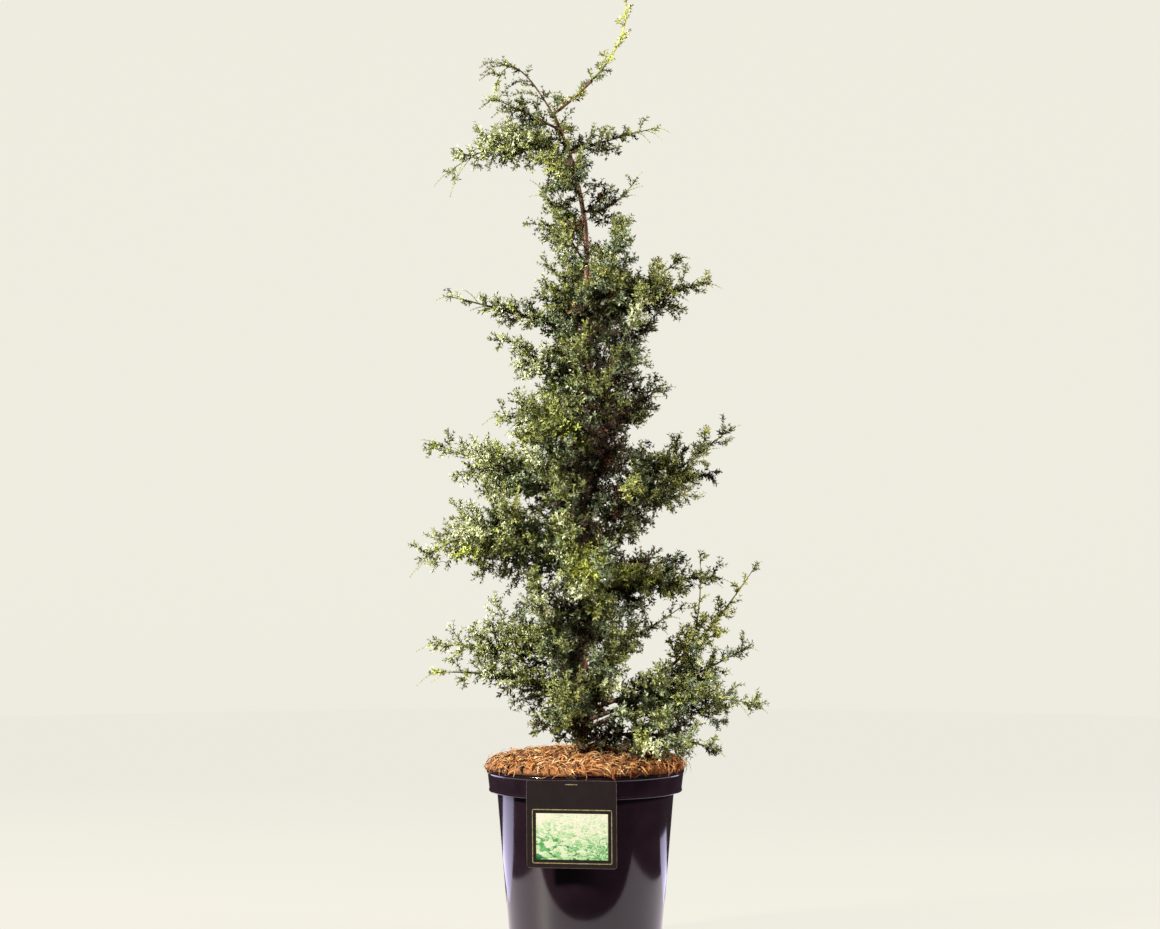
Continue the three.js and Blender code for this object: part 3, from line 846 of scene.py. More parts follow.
def scatter_tree() -> NodeTree:
    """Builds the tree that lays strips of husk on the bed's upper side, flat but every way round.

    Returns:
        The geometry tree.
    """
    tree, start, end = new_tree("scattered_husk", [
        ("Strip", "NodeSocketObject"), ("Density", "NodeSocketFloat"), ("Seed", "NodeSocketInt"),
        ("Finish", "NodeSocketMaterial")])
    normal = add_node(tree, "GeometryNodeInputNormal")
    upward = add_node(tree, "ShaderNodeSeparateXYZ", {0: normal.outputs[0]})
    facing = add_node(tree, "FunctionNodeCompare", {
        0: upward.outputs["Z"], 1: 0.1}, operation="GREATER_THAN")
    points = add_node(tree, "GeometryNodeDistributePointsOnFaces", {
        "Mesh": start.outputs["Geometry"], "Selection": facing.outputs[0],
        "Density": start.outputs["Density"], "Seed": start.outputs["Seed"]})
    tip = add_node(tree, "FunctionNodeRandomValue", {
        0: (-0.5, -0.5, 0.0), 1: (0.5, 0.5, FULL_TURN), "Seed": start.outputs["Seed"]},
        data_type="FLOAT_VECTOR")
    size = add_node(tree, "FunctionNodeRandomValue", {2: 0.45, 3: 1.15, "Seed": start.outputs["Seed"]})
    strip = add_node(tree, "GeometryNodeObjectInfo", {"Object": start.outputs["Strip"]})
    turn = add_node(tree, "FunctionNodeEulerToRotation", {0: tip.outputs[0]})
    laid = add_node(tree, "FunctionNodeRotateRotation", {
        0: points.outputs["Rotation"], 1: turn.outputs[0]}, rotation_space="LOCAL")
    placed = add_node(tree, "GeometryNodeInstanceOnPoints", {
        "Points": points.outputs["Points"], "Instance": strip.outputs["Geometry"],
        "Rotation": laid.outputs[0], "Scale": size.outputs[1]})
    finish_tree(tree, placed.outputs[0], start.outputs["Finish"], end)
    return tree


@dataclass
class HangingCard:
    """The card on the rim: its own solid stays, and thin printed panels lie on its face."""

    pot: NurseryPot
    width: float = 102
    height: float = 98.5
    thickness: float = 0.8
    gap: float = 0.3
    azimuth: float = -98
    lean: float = 3
    below_rim: float = 2
    frame_left: float = 0.063
    frame_right: float = 0.947
    frame_top: float = 0.331
    frame_bottom: float = 0.948
    frame_line: float = 0.9
    picture_inset: float = 4.6
    picture_corner: float = 0.5
    corner: float = 2.0
    edge_line: float = 0.6
    edge_corner: float = 3.5
    slit_width: float = 14
    slit_top: float = -4.4
    slit_bottom: float = -5.2
    slit_corner: float = 0.39
    corner_steps: int = 6
    sunk: float = 0.1

    def to_world(self) -> Matrix:
        """Gives the turn and shift that take the card's flat drawing to its place on the rim.

        Returns:
            The turn and shift, in millimetres.
        """
        angle = math.radians(self.azimuth)
        distance = self.pot.rim_radius + self.gap
        place = Matrix.Translation((distance * math.cos(angle), distance * math.sin(angle), 0))
        face = Matrix.Translation((0, -self.thickness, self.pot.height - self.below_rim))
        lean = Matrix.Rotation(math.pi / 2 + math.radians(self.lean), 4, "X")
        return place @ Matrix.Rotation(angle + math.pi / 2, 4, "Z") @ face @ lean

    def outline(self, left: float, right: float, top: float, bottom: float, corner: float) -> list[Vector]:
        """Draws a rectangle with round corners, running anticlockwise.

        Args:
            left: Its left edge.
            right: Its right edge.
            top: Its upper edge.
            bottom: Its lower edge.
            corner: The radius of its corners.

        Returns:
            The outline's points.
        """
        points = []
        centres = [(right - corner, top - corner), (left + corner, top - corner),
                   (left + corner, bottom + corner), (right - corner, bottom + corner)]
        for quarter, (x, y) in enumerate(centres):
            for k in range(self.corner_steps + 1):
                angle = (quarter + k / self.corner_steps) * math.pi / 2
                points.append(Vector((x + corner * math.cos(angle), y + corner * math.sin(angle))))
        return points

    def plate(self, name: str, outer: list[Vector], hole: list[Vector] | None, rise: float,
              finish: Finish) -> None:
        """Lays a thin plate on the card's face, with a map that runs from 0 to 1 across it.

        Args:
            name: The plate's name.
            outer: Its outline.
            hole: The outline of the hole in it, with as many points, or None.
            rise: How far it stands off the face.
            finish: Its finish.
        """
        count = len(outer)
        rings = [outer] if hole is None else [outer, hole]
        levels = (self.thickness - self.sunk, self.thickness + rise)
        points = [[p.x, p.y, z] for z in levels for ring in rings for p in ring]
        level = count * len(rings)
        faces = []
        for i in range(count):
            j = (i + 1) % count
            faces.append([i, j, level + j, level + i])
            if hole is not None:
                faces.append([count + j, count + i, level + count + i, level + count + j])
                faces.append([level + i, level + j, level + count + j, level + count + i])
                faces.append([j, i, count + i, count + j])
        if hole is None:
            faces.append(list(range(level, level + count)))
            faces.append(list(range(count - 1, -1, -1)))
        plate = build_object(name, points, faces, finish.make(), smooth=False)
        xs = [p.x for p in outer]
        ys = [p.y for p in outer]
        layer = plate.data.uv_layers.new(name="panel")
        for loop in plate.data.loops:
            spot = plate.data.vertices[loop.vertex_index].co / MM
            layer.data[loop.index].uv = ((spot.x - min(xs)) / (max(xs) - min(xs)),
                                         (spot.y - min(ys)) / (max(ys) - min(ys)))
        place = self.to_world()
        place.translation *= MM
        plate.data.transform(place)
        present(plate, "card")

    def build(self) -> None:
        """Dresses the card and lays its frame line, its panel, a paler band along its edge and its slit on
        it.
        """
        dress("hanging_card", PrintedCard().make())
        left = self.width * (self.frame_left - 0.5)
        right = self.width * (self.frame_right - 0.5)
        top = -self.height * self.frame_top
        bottom = -self.height * self.frame_bottom
        line, inset, edge, half = self.frame_line, self.picture_inset, self.edge_line, self.width / 2
        outer = self.outline(left, right, top, bottom, self.corner)
        inner = self.outline(left + line, right - line, top - line, bottom + line, self.corner - line)
        self.plate("card_frame_line", outer, inner, 0.12, InkLine())
        panel = self.outline(left + inset, right - inset, top - inset, bottom + inset, self.picture_corner)
        self.plate("card_panel", panel, None, 0.15, MottledPrint())
        rim = self.outline(-half, half, 0, -self.height, self.edge_corner)
        inside = self.outline(edge - half, half - edge, -edge, edge - self.height, self.edge_corner - edge)
        # A paler band along the card's edge.
        self.plate("card_edge_line", rim, inside, 0.04, InkLine("worn_card_edge", ("#453838", "#6a5a5a")))
        slit = self.outline(-self.slit_width / 2, self.slit_width / 2, self.slit_top, self.slit_bottom,
                            self.slit_corner)
        self.plate("card_slit", slit, None, 0.05, InkLine("slit_edge"))


@dataclass(frozen=True)
class TrunkPlan:
    """The trunk's line and thickness, as the frame's source lays them out."""

    foot: float = 195.3
    top: float = 977
    wander: float = 4
    wander_centre: float = 0.36
    wander_wave: float = 0.95
    lean: float = 34
    lean_from: float = 0.8
    lean_power: float = 2
    depth_wander: float = 3
    tip_radius: float = 1.7
    taper: float = 5.6
    taper_power: float = 0.9
    flare: float = 5
    flare_height: float = 14

    def point(self, share: float) -> Vector:
        """Gives a place on the trunk's axis.

        Args:
            share: The share of the trunk's height.

        Returns:
            The place.
        """
        wave = FULL_TURN * (share - self.wander_centre) / self.wander_wave
        leaning = max(0.0, (share - self.lean_from) / (1 - self.lean_from))
        return Vector((
            self.wander * math.sin(wave) - self.lean * leaning ** self.lean_power,
            self.depth_wander * math.sin(1.5 * wave),
            lerp(self.foot, self.top, share),
        ))

    def radius(self, share: float) -> float:
        """Gives the trunk's radius.

        Args:
            share: The share of the trunk's height.

        Returns:
            The radius.
        """
        height = share * (self.top - self.foot)
        flare = self.flare * math.exp(-height / self.flare_height)
        return self.tip_radius + self.taper * max(0.0, 1 - share) ** self.taper_power + flare

    def share_at(self, height: float) -> float:
        """Gives the share of the trunk's height at a height over the ground, kept from 0 to 1."""
        return min(1.0, max(0.0, (height - self.foot) / (self.top - self.foot)))


TRUNK = TrunkPlan()


@dataclass(frozen=True)
class LimbPlan:
    """One limb: it leaves the trunk at a height and runs out to its tip in an upright plane.

    Its first share, the bough, is bare. The rest carries foliage out to the spread.
    """

    name: str
    leaves: float
    azimuth: float
    reach: float
    tip: float
    arch: float = 0
    sweep: float = 0
    bough: float = 0
    spread: float = 70
    spray: float = 76
    core: float = 0
    shrink: float = 0.7
    core_to: float = 0.62


SIDE_LIMBS = (
    LimbPlan("leader", 977, 0, 80, 1136, arch=4, sweep=70, spread=20, spray=20),
    LimbPlan("crown_whips", 966, 181, 73, 1007, arch=88, sweep=22, spread=22, spray=20),
    LimbPlan("top_left", 918, 171, 148, 912, arch=56, bough=0.12, spread=58, spray=58, core=0.36),
    LimbPlan("top_left_high", 958, 212, 90, 986, spread=38, spray=34),
    LimbPlan("top_right", 930, 12, 104, 964, arch=4, spread=37, spray=34),
    LimbPlan("top_front_left", 886, 248, 78, 902, spread=60),
    LimbPlan("top_back", 900, 118, 70, 962, arch=-10, spread=54, core=0.26),
    LimbPlan("upper_left", 836, 166, 54, 890, arch=-14, spread=54, spray=52),
    LimbPlan("upper_front", 798, 232, 52, 852, arch=-10, spread=54, spray=52),
    LimbPlan("upper_right", 862, 5, 62, 899, arch=-26, spread=38, spray=34),
    LimbPlan("shoulder_left", 712, 193, 168, 757, arch=6, bough=0.12, spread=40, spray=36, core=0.26),
    LimbPlan("shoulder_right", 720, 342, 140, 770, arch=16, spread=70, core=0.3),
    LimbPlan("crest_right", 742, 28, 124, 812, arch=-16, spread=50, core=0.3, spray=60),
    LimbPlan("waist_left", 604, 158, 112, 622, spread=92, core=0.3, arch=6),
    LimbPlan("waist_left_high", 640, 200, 100, 708, spread=74),
    LimbPlan("waist_right", 600, 16, 88, 654, spread=80, core=0.3),
    LimbPlan("middle_left", 512, 170, 182, 588, arch=6, bough=0.12, spread=76, core=0.34),
    LimbPlan("middle_right", 486, 350, 166, 600, arch=-10, bough=0.14, spread=84, core=0.34),
    LimbPlan("lower_left", 420, 191, 188, 454, arch=84, bough=0.12, spread=104, core=0.36, spray=80),
    LimbPlan("lower_right", 406, 14, 162, 430, spread=86, arch=14, core=0.34),
    LimbPlan("skirt_left", 332, 168, 176, 350, arch=14, spread=88, core=0.3),
    LimbPlan("skirt_left_low", 284, 196, 176, 322, arch=24, spread=50, spray=44, core=0.25),
    LimbPlan("right_twigs", 332, 30, 140, 396, arch=-8, spread=44, spray=32),
    LimbPlan("side_main", 262, 352, 192, 350, arch=-10, bough=0.2, spread=80, core=0.36),
    LimbPlan("side_shoot_tall", 290, 22, 152, 458, arch=-116, sweep=88, bough=0.4, spread=34, spray=28),
    LimbPlan("side_shoot_arch", 276, 3, 204, 444, arch=-66, sweep=4, bough=0.5, spread=40, spray=32),
    LimbPlan("side_low", 250, 336, 216, 288, arch=42, bough=0.2, spread=80, spray=60, core=0.34),
    LimbPlan("foot_right", 239, 322, 186, 240, arch=26, spread=84, spray=62, core=0.36),
)
# Each tier's name, the height that it leaves the trunk at, its rise, its reach and its turn.
TIERS = (
    ("foot", 244, 74, 66, 6),
    ("skirt", 318, 106, 80, -12),
    ("lower", 412, 110, 84, 14),
    ("middle", 508, 114, 82, -10),
    ("waist", 606, 106, 74, 18),
    ("shoulder", 692, 84, 66, 0),
)
# Each sector's name, its azimuth, how much higher it starts and how much wider it reaches.
SECTORS = (("front_left", 248, 0, 1.1), ("front_right", 294, 44, 1.15), ("back", 90, 24, 1.45))
PLUMES = tuple(
    LimbPlan(f"{tier}_{sector}", leaves + up, azimuth + turn, reach * wider, leaves + rise + up,
             arch=-26, sweep=18, core=0.36, shrink=0.4, core_to=0.85)
    for tier, leaves, rise, reach, turn in TIERS
    for sector, azimuth, up, wider in SECTORS
)


class Seeded:
    """The repeatable stream of numbers from 0 to 1 that the frame's source draws from."""

    WORD = 0xFFFFFFFF

    def __init__(self, seed: int) -> None:
        """Starts the stream at a seed."""
        self.state = seed & self.WORD

    def __call__(self) -> float:
        """Draws the next number.

        Returns:
            The number, from 0 to 1.
        """
        self.state = (self.state + 0x6D2B79F5) & self.WORD
        mixed = ((self.state ^ (self.state >> 15)) * (self.state | 1)) & self.WORD
        stirred = (mixed + ((mixed ^ (mixed >> 7)) * (mixed | 61) & self.WORD)) & self.WORD
        mixed ^= stirred
        return ((mixed ^ (mixed >> 14)) & self.WORD) / 4294967296


class Limb:
    """A limb's curve and thickness, worked out from its plan."""

    LEAST_RADIUS = 0.9
    RADIUS_PER_REACH = 0.011
    TIP_RADIUS = 0.45
    TAPER_POWER = 0.8
    GAP = 0.3

    def __init__(self, plan: LimbPlan, index: int) -> None:
        """Works out the limb's curve.

        Args:
            plan: The limb's sizes.
            index: Its place in the table, which also seeds it.
        """
        self.plan = plan
        self.index = index
        azimuth = math.radians(plan.azimuth)
        outward = Vector((math.cos(azimuth), math.sin(azimuth), 0))
        self.start = TRUNK.point((plan.leaves - TRUNK.foot) / (TRUNK.top - TRUNK.foot))
        self.end = self.start + outward * plan.reach
        self.end.z = plan.tip
        self.middle = self.start.lerp(self.end, 0.5) + outward * plan.sweep
        self.middle.z += plan.arch
        places = [self.point(i / 60) for i in range(61)]
        self.length = sum((b - a).length for a, b in zip(places, places[1:]))
        self.stem_from = plan.bough + self.GAP / self.length if plan.bough > 0 else 0.0

    def point(self, at: float) -> Vector:
        """Gives the curve at a share of its run, also past its ends."""
        return self.start * (1 - at) ** 2 + self.middle * (2 * at * (1 - at)) + self.end * at ** 2

    def heading(self, at: float) -> Vector:
        """Gives the curve's direction at a share of its run."""
        return (self.point(at + 0.001) - self.point(at - 0.001)).normalized()

    def radius(self, at: float) -> float:
        """Gives the limb's radius at a share of its run."""
        foot = self.LEAST_RADIUS + self.RADIUS_PER_REACH * self.plan.reach
        return foot * max(0.0, 1 - at) ** self.TAPER_POWER + self.TIP_RADIUS

    @property
    def young(self) -> bool:
        """True for the fresh yellow-green shoots."""
        return self.plan.name == "leader" or self.plan.name.startswith("side_shoot")


class Shade(Enum):
    """The tones of the needles. Each is one plain finish, and a whole spray takes one. They run from deep to
    pale partly as painted shade and painted light.
    """

    # Dark brown: old foliage, and painted shade inside the crown.
    DEEP = NeedleSkin("needles_deep", ("#2c2320", "#473d31"))
    BLUE = NeedleSkin("needles_blue_green", ("#4c5a41", "#98a684"))
    MID = NeedleSkin("needles_mid_green", ("#535b32", "#99a164"))
    OLIVE = NeedleSkin("needles_olive", ("#6c7636", "#b5ba74"))
    # Nearly cream at its light end: the grey bloom, with painted light on the lit outer sprays.
    PALE = NeedleSkin("needles_pale", ("#9aa674", "#e6e9c6"))
    YOUNG = NeedleSkin("needles_young", ("#a0ac44", "#d8e07c"))
    RUST = NeedleSkin("needles_rust", ("#463026", "#6e503c"))


class Wood(Enum):
    """The skins of twigs and stems."""

    BROWN = TwigSkin("twig_brown", ("#4a2f24", "#7b5240"))
    GREEN = TwigSkin("twig_green", ("#5b6334", "#8b8c4c"))
    YOUNG = TwigSkin("twig_young", ("#a3a452", "#cdd07e"))


@dataclass(frozen=True)
class Twig:
    """A slim twig that starts straight and bends away, with needles from a share of its length on."""

    root: Vector
    direction: Vector
    length: float
    bend: Vector
    thick: tuple[float, float]
    needle: tuple[float, float]
    needle_from: float
    shade: Shade
    wood: Wood

    def point(self, share: float) -> Vector:
        """Gives the place at a share of the twig's length."""
        return self.root + (self.direction * share + self.bend * share ** 2) * self.length


@dataclass(frozen=True)
class Pool:
    """A soft oval of painted shade or painted light on the plant's face, darker or lighter than what is
    round it.
    """

    across: float
    up: float
    width: float
    height: float
    tone: float

    def lights(self, place: Vector) -> float:
        """Gives how much painted light it adds to a place; below nought it is painted shade.

        Args:
            place: The place.

        Returns:
            What it adds to the tone there.
        """
        across = (place.x - self.across) / self.width
        up = (place.z - self.up) / self.height
        return self.tone * math.exp(-across ** 2 - up ** 2)


@dataclass(frozen=True)
class Tones:
    """How the tones are dealt out by spray: deep inside, paler outside, above and on the lit side. This is
    painted shade and painted light, with some older foliage inside and fresher outside.
    """

    # The leader stays woody, with dark tufts, between these heights.
    woody: tuple[float, float] = (960, 1035)
    young_share: float = 0.75
    # Where the new growth shows in front: across, up and how far round.
    fresh: tuple[tuple[float, float, float], ...] = (
        (-52, 648, 13), (-44, 626, 11), (-38, 602, 9), (0, 452, 20), (8, 434, 12), (50, 430, 14),
        (-6, 584, 10), (-140, 452, 16), (128, 604, 16))
    fresh_share: float = 0.7
    # Sprays near the trunk score lower and turn darker: painted shade inside the crown, with some older
    # foliage there.
    least: float = 0.16
    outside: float = 0.42
    outside_at: float = 120
    # The painted light: what each millimetre towards the key lamp adds, paler to the left, in front and
    # higher up.
    sun: tuple[float, float, float] = (-0.0010, -0.0004, 0.0002)
    sun_from: float = 600
    clouds: float = 0.07
    luck: float = 0.5
    # Painted shade in the hollow right of the trunk and under the top on the right, and painted light on the
    # middle right.
    pools: tuple[Pool, ...] = (Pool(22, 590, 38, 130, -0.5), Pool(28, 905, 38, 55, -0.26),
                               Pool(105, 562, 45, 50, 0.13))
    # The lower the score, painted light and shade included, the darker the tone.
    steps: tuple[tuple[float, Shade], ...] = (
        (0.16, Shade.DEEP), (0.36, Shade.BLUE), (0.54, Shade.MID), (0.7, Shade.OLIVE), (0.94, Shade.PALE))
    rust_share: float = 0.12

    def pick(self, limb: Limb, place: Vector, chance: float) -> Shade:
        """Picks a spray's tone.

        Args:
            limb: The limb that carries it.
            place: Where its tip is.
            chance: A number from 0 to 1.

        Returns:
            The tone.
        """
        woody = self.woody[0] < place.z < self.woody[1]
        if limb.young and chance < self.young_share and not woody:
            return Shade.YOUNG
        for across, up, reach in self.fresh:
            if place.y < 0 and math.hypot(place.x - across, place.z - up) < reach:
                return Shade.YOUNG if chance < self.fresh_share else Shade.OLIVE
        # Painted shade near the trunk, painted light towards the key lamp, and painted pools of shade and
        # light set the score.
        axis = TRUNK.point(TRUNK.share_at(place.z))
        outward = min(1.0, math.hypot(place.x - axis.x, place.y - axis.y) / self.outside_at)
        painted_light = self.sun[0] * place.x + self.sun[1] * place.y + self.sun[2] * (place.z - self.sun_from)
        clouds = math.sin(place.x / 17 + place.z / 29) + math.sin(place.z / 19 - place.y / 23 + 1.3)
        score = self.least + self.outside * outward + painted_light + self.clouds * clouds
        for pool in self.pools:
            score += pool.lights(place)
        score += self.luck * (chance - 0.5)
        for limit, shade in self.steps:
            if score < limit:
                # Now and then a deep spray has died off to rust.
                rusty = shade is Shade.DEEP and chance * 97 % 1 < self.rust_share
                return Shade.RUST if rusty else shade
        return Shade.YOUNG


def branch(forward: Vector, turn: float, angle: float, lift: float) -> Vector:
    """Gives a direction that leans away from a stem by an angle, turned round it and lifted.

    Args:
        forward: The stem's direction.
        turn: How far round the stem, in radians.
        angle: How far away from it, in degrees.
        lift: How much it is lifted towards the light.

    Returns:
        The direction.
    """
    helper = UP if abs(forward.z) < 0.9 else Vector((1, 0, 0))
    across = helper.cross(forward).normalized()
    over = forward.cross(across)
    radial = across * math.cos(turn) + over * math.sin(turn)
    away = math.radians(angle)
    direction = forward * math.cos(away) + radial * math.sin(away)
    direction.z += lift
    return direction.normalized()


def flat_sides(direction: Vector, roll: float) -> tuple[Vector, Vector]:
    """Gives the directions of a spray's width and depth.

    Args:
        direction: Where the spray points.
        roll: How far its flat side is turned about its own line, in radians.

    Returns:
        The two directions.
    """
    turn = Vector((0, 1, 0)).rotation_difference(direction)
    across = Vector((math.cos(roll), 0, -math.sin(roll)))
    over = Vector((math.sin(roll), 0, math.cos(roll)))
    return turn @ across, turn @ over


def past_frame(place: Vector) -> float:
    """Gives how far a place lies outside the frame's box, in millimetres."""
    low, high = CAD_BOX
    return max(max(low[k] / MM - place[k], place[k] - high[k] / MM) for k in range(3))


@dataclass
class Crown:
    """All the twigs and needles, grown limb by limb by the seeded rule.

    The limb that grows, and its stream of numbers for what is finer than the frame's solids, are kept
    in it meanwhile.
    """

    limbs: list[Limb]
    mulch: CoirMulch
    tones: Tones = Tones()
    seed: int = 4117
    # How the masses share the space, and how clear of the wood and the pot they keep.
    margin: float = 60
    site_spacing: float = 22
    site_share: float = 0.3
    clear: float = 0.4
    pot_clear: float = 2
    # The twigs on a mass's stem.
    twig_spacing: float = 12.9
    twig_shortest: float = 14
    twig_fewest: int = 5
    twig_angle: float = 52
    twig_lift: float = 0.3
    twig_spread: float = 0.3
    twig_run_on: float = 1.1
    twig_long: float = 14
    # How the mass thins towards its end.
    whip_share: float = 0.14
    whip_from: float = 0.85
    fullness_power: float = 2
    # The sprays on a twig.
    spray_width: float = 0.24
    spray_depth: float = 0.13
    spray_angle: float = 40
    spray_lift: float = 0.35
    spray_spacing: float = 30
    spray_sunk: float = 0.1
    spray_spread: float = 0.35
    spray_past: float = 0.8
    spray_first: float = 0.6
    spray_beside: float = 0.85
    spray_end: float = 0.6
    spray_bend: float = 0.2
    # How far along the frame's toothed solid its widest corners lie: left, right, over and under.
    teeth: tuple[float, float, float, float] = (0.56, 0.34, 0.26, 0.46)
    core_corners: int = 18
    sizes: tuple[float, ...] = (1, 0.75, 0.5)
    # The sprigs in a spray, and the knobs on a sprig.
    sprig_spacing: float = 5
    sprig_angle: float = 50
    sprig_turn: float = 24
    sprig_run_on: float = 3.5
    sprig_widest: float = 0.45
    sprig_run: tuple[float, float] = (0.12, 0.94)
    sprig_share: float = 0.84
    sprig_curl: float = 0.3
    same_tone: float = 0.75
    knob_from: float = 9
    knob_spacing: float = 4.8
    knob_length: float = 5
    knob_run: tuple[float, float] = (0.2, 0.9)
    knob_share: float = 0.8
    # The needles, and how many faces one piece may have.
    whorl_spacing: float = 3.6
    needles_in_whorl: int = 3
    needle_faces: int = 4
    piece_faces: int = 130000
    needle_length: float = 6.5
    # The young whips at the end of a limb, kept near the frame's box.
    whips: int = 4
    whip_length: float = 27
    whip_needles: tuple[float, float] = (2.6, 2.0)
    past_most: float = 5
    past_shorter: float = 0.6
    # The finer sprays between the twigs, and those inside the mass.
    hanging_lift: float = -0.25
    thin_spread: float = 36
    between_spacing: float = 5.5
    between_angle: float = 48
    between_share: float = 0.72
    between_shortest: float = 9
    core_spacing: float = 5
    core_angle: float = 66
    core_out: float = 2
    # The leader's tufts.
    tufts: tuple[float, ...] = (0.04, 0.1, 0.17, 0.24, 0.3, 0.36, 0.52, 0.7, 0.86)
    tuft_angle: float = 46
    # The leafy twigs that arch out at the top.
    arches: int = 5
    arch_length: float = 54
    arch_fan: float = 70
    arch_needles: tuple[float, float] = (4.2, 3.0)
    arching: tuple[str, ...] = ("crown_whips", "top_left_high")
    # The trunk itself carries short sprays between these heights, and so many.
    dressed: tuple[tuple[float, float, int], ...] = ((846, 984, 22), (286, 750, 54))
    # More of them fill the slots that the masses leave: from, to, how many, which way and how long.
    slots: tuple[tuple[float, float, int, float, float], ...] = (
        (286, 850, 62, 135, 44), (322, 404, 10, 272, 26))
    # How thick each kind of twig is at its root and at its tip.
    twig_thick: tuple[float, float] = (1.0, 0.5)
    axis_thick: tuple[float, float] = (0.6, 0.25)
    sprig_thick: tuple[float, float] = (0.45, 0.2)
    knob_thick: tuple[float, float] = (0.35, 0.2)
    whip_thick: tuple[float, float] = (0.5, 0.22)
    arch_thick: tuple[float, float] = (0.65, 0.25)
    twigs: list[Twig] = field(default_factory=list)
    limb: Limb = field(init=False)
    fine: Seeded = field(init=False)

    def __post_init__(self) -> None:
        """Works out the spheres that share out the crown's space."""
        centres, radii, masses = [], [], []
        for limb in self.limbs:
            count = math.ceil(limb.length * (1 - limb.stem_from) / self.site_spacing)
            for i in range(count + 1):
                along = i / count
                centres.append(limb.point(lerp(limb.stem_from, 1, along)))
                radii.append(self.site_share * limb.plan.spread * self.fullness(along))
                masses.append(limb.index)
        self.site_centres = np.array(centres)
        self.site_radii = np.array(radii)
        self.site_masses = np.array(masses)

    def fullness(self, along: float) -> float:
        """Gives how far the foliage stands out, as a share of the spread. It thins to a whip."""
        return max(self.whip_share, 1 - (along / self.whip_from) ** self.fullness_power)

    def vary(self, least: float, more: float) -> float:
        """Draws a value from the least up to so much more."""
        return least + more * self.fine()

    def stray(self, amount: float, middle: float = 0.5) -> float:
        """Draws a value that strays to both sides of nought."""
        return amount * (self.fine() - middle)

    def standing(self, points: Sequence[Vector]) -> float:
        """Gives how clearly the worst of some points stands in the growing mass's own space.

        Args:
            points: The points.

        Returns:
            The power distance to the nearest other mass less that to its own.
        """
        away = np.array(points)[:, None, :] - self.site_centres[None]
        apart = (away ** 2).sum(2) - self.site_radii ** 2
        own = self.site_masses == self.limb.index
        return float((apart[:, ~own].min(1) - apart[:, own].min(1)).min())

    def touches(self, points: Sequence[Vector]) -> bool:
        """Tells if a piece meets the trunk, the mulch or the pot.

        Args:
            points: Points along the piece.

        Returns:
            True if it touches one of them.
        """
        edge = self.mulch.pot.rim_radius + self.mulch.overhang
        for x, y, z in points:
            share = TRUNK.share_at(z)
            axis = TRUNK.point(share)
            if math.hypot(x - axis.x, y - axis.y) < TRUNK.radius(share) + self.clear and z < TRUNK.top:
                return True
            radius = math.hypot(x, y)
            if radius < edge and z < self.mulch.top(radius) + self.mulch.lumps:
                return True
            if radius < edge + self.pot_clear and z < self.mulch.pot.height:
                return True
        return False

    def add_spray(self, foot: Vector, direction: Vector, longest: float, roll: float) -> None:
        """Grows the largest spray that fits: an axis with leafy sprigs inside the toothed outline.

        Args:
            foot: Where it leaves its twig.
            direction: Where it points.
            longest: Its wanted length.
            roll: How its flat side is turned.
        """
        sides = flat_sides(direction, roll)
        across, over = sides
        for size in self.sizes:
            length = longest * size
            root = foot - direction * (self.spray_sunk * length)
            half, deep = self.spray_width * length, self.spray_depth * length
            left, right, top, under = (root + direction * (tooth * length) for tooth in self.teeth)
            tips = [left - across * half, right + across * half, top + over * deep, under - over * deep,
                    root + direction * length, root]
            if self.standing(tips) >= self.margin and not self.touches(tips[:-1]):
                self.leaf_out(root, direction, sides, length)
                return

    def add_loose(self, root: Vector, direction: Vector, length: float) -> None:
        """Grows a small spray that may reach into the next mass."""
        self.leaf_out(root, direction, flat_sides(direction, math.pi * self.fine()), length)

    def leaf_out(self, root: Vector, direction: Vector, sides: tuple[Vector, Vector], length: float) -> None:
        """Fills one spray with an axis and its sprigs.

        Args:
            root: Where it starts.
            direction: Where it points.
            sides: The directions of its width and its depth.
            length: Its length.
        """
        across, over = sides
        shade = self.tones.pick(self.limb, root + direction * length, self.fine())
        wood = Wood.YOUNG if self.limb.young else Wood.GREEN
        bend = UP * self.stray(self.spray_bend, 0.4) + across * self.stray(self.spray_bend)
        size = self.needle_length * self.vary(0.85, 0.3)
        axis = Twig(root, direction, length, bend, self.axis_thick, (0.8 * size, 0.6 * size), 0.15,
                    shade, wood)
        self.twigs.append(axis)
        count = int(length * self.sprig_share / self.sprig_spacing)
        turn = FULL_TURN * self.fine()
        for k in range(count):
            share = lerp(*self.sprig_run, (k + self.fine()) / count)
            widest = self.sprig_widest
            outline = share / widest if share < widest else (1 - share) / (1 - widest)
            reach = self.spray_width * length * outline * self.vary(0.45, 0.75)
            turn += GOLDEN_ANGLE
            around = across * math.cos(turn) + over * (0.75 * math.sin(turn)) + UP * 0.2
            angle = math.radians(self.sprig_angle + self.stray(self.sprig_turn))
            sprig_length = reach / math.sin(angle) + self.sprig_run_on
            start = axis.point(share)
            heading = (direction * math.cos(angle) + around.normalized() * math.sin(angle)).normalized()
            tone = shade if self.fine() < self.same_tone else self.tones.pick(self.limb, start, self.fine())
            curl = direction * (self.sprig_curl * self.fine()) + UP * self.stray(self.sprig_curl, 0.4)
            sprig = Twig(start, heading, sprig_length, curl, self.sprig_thick, (size, 0.7 * size), 0.1,
                         tone, wood)
            self.twigs.append(sprig)
            self.add_knobs(sprig, around.cross(direction).normalized(), size)

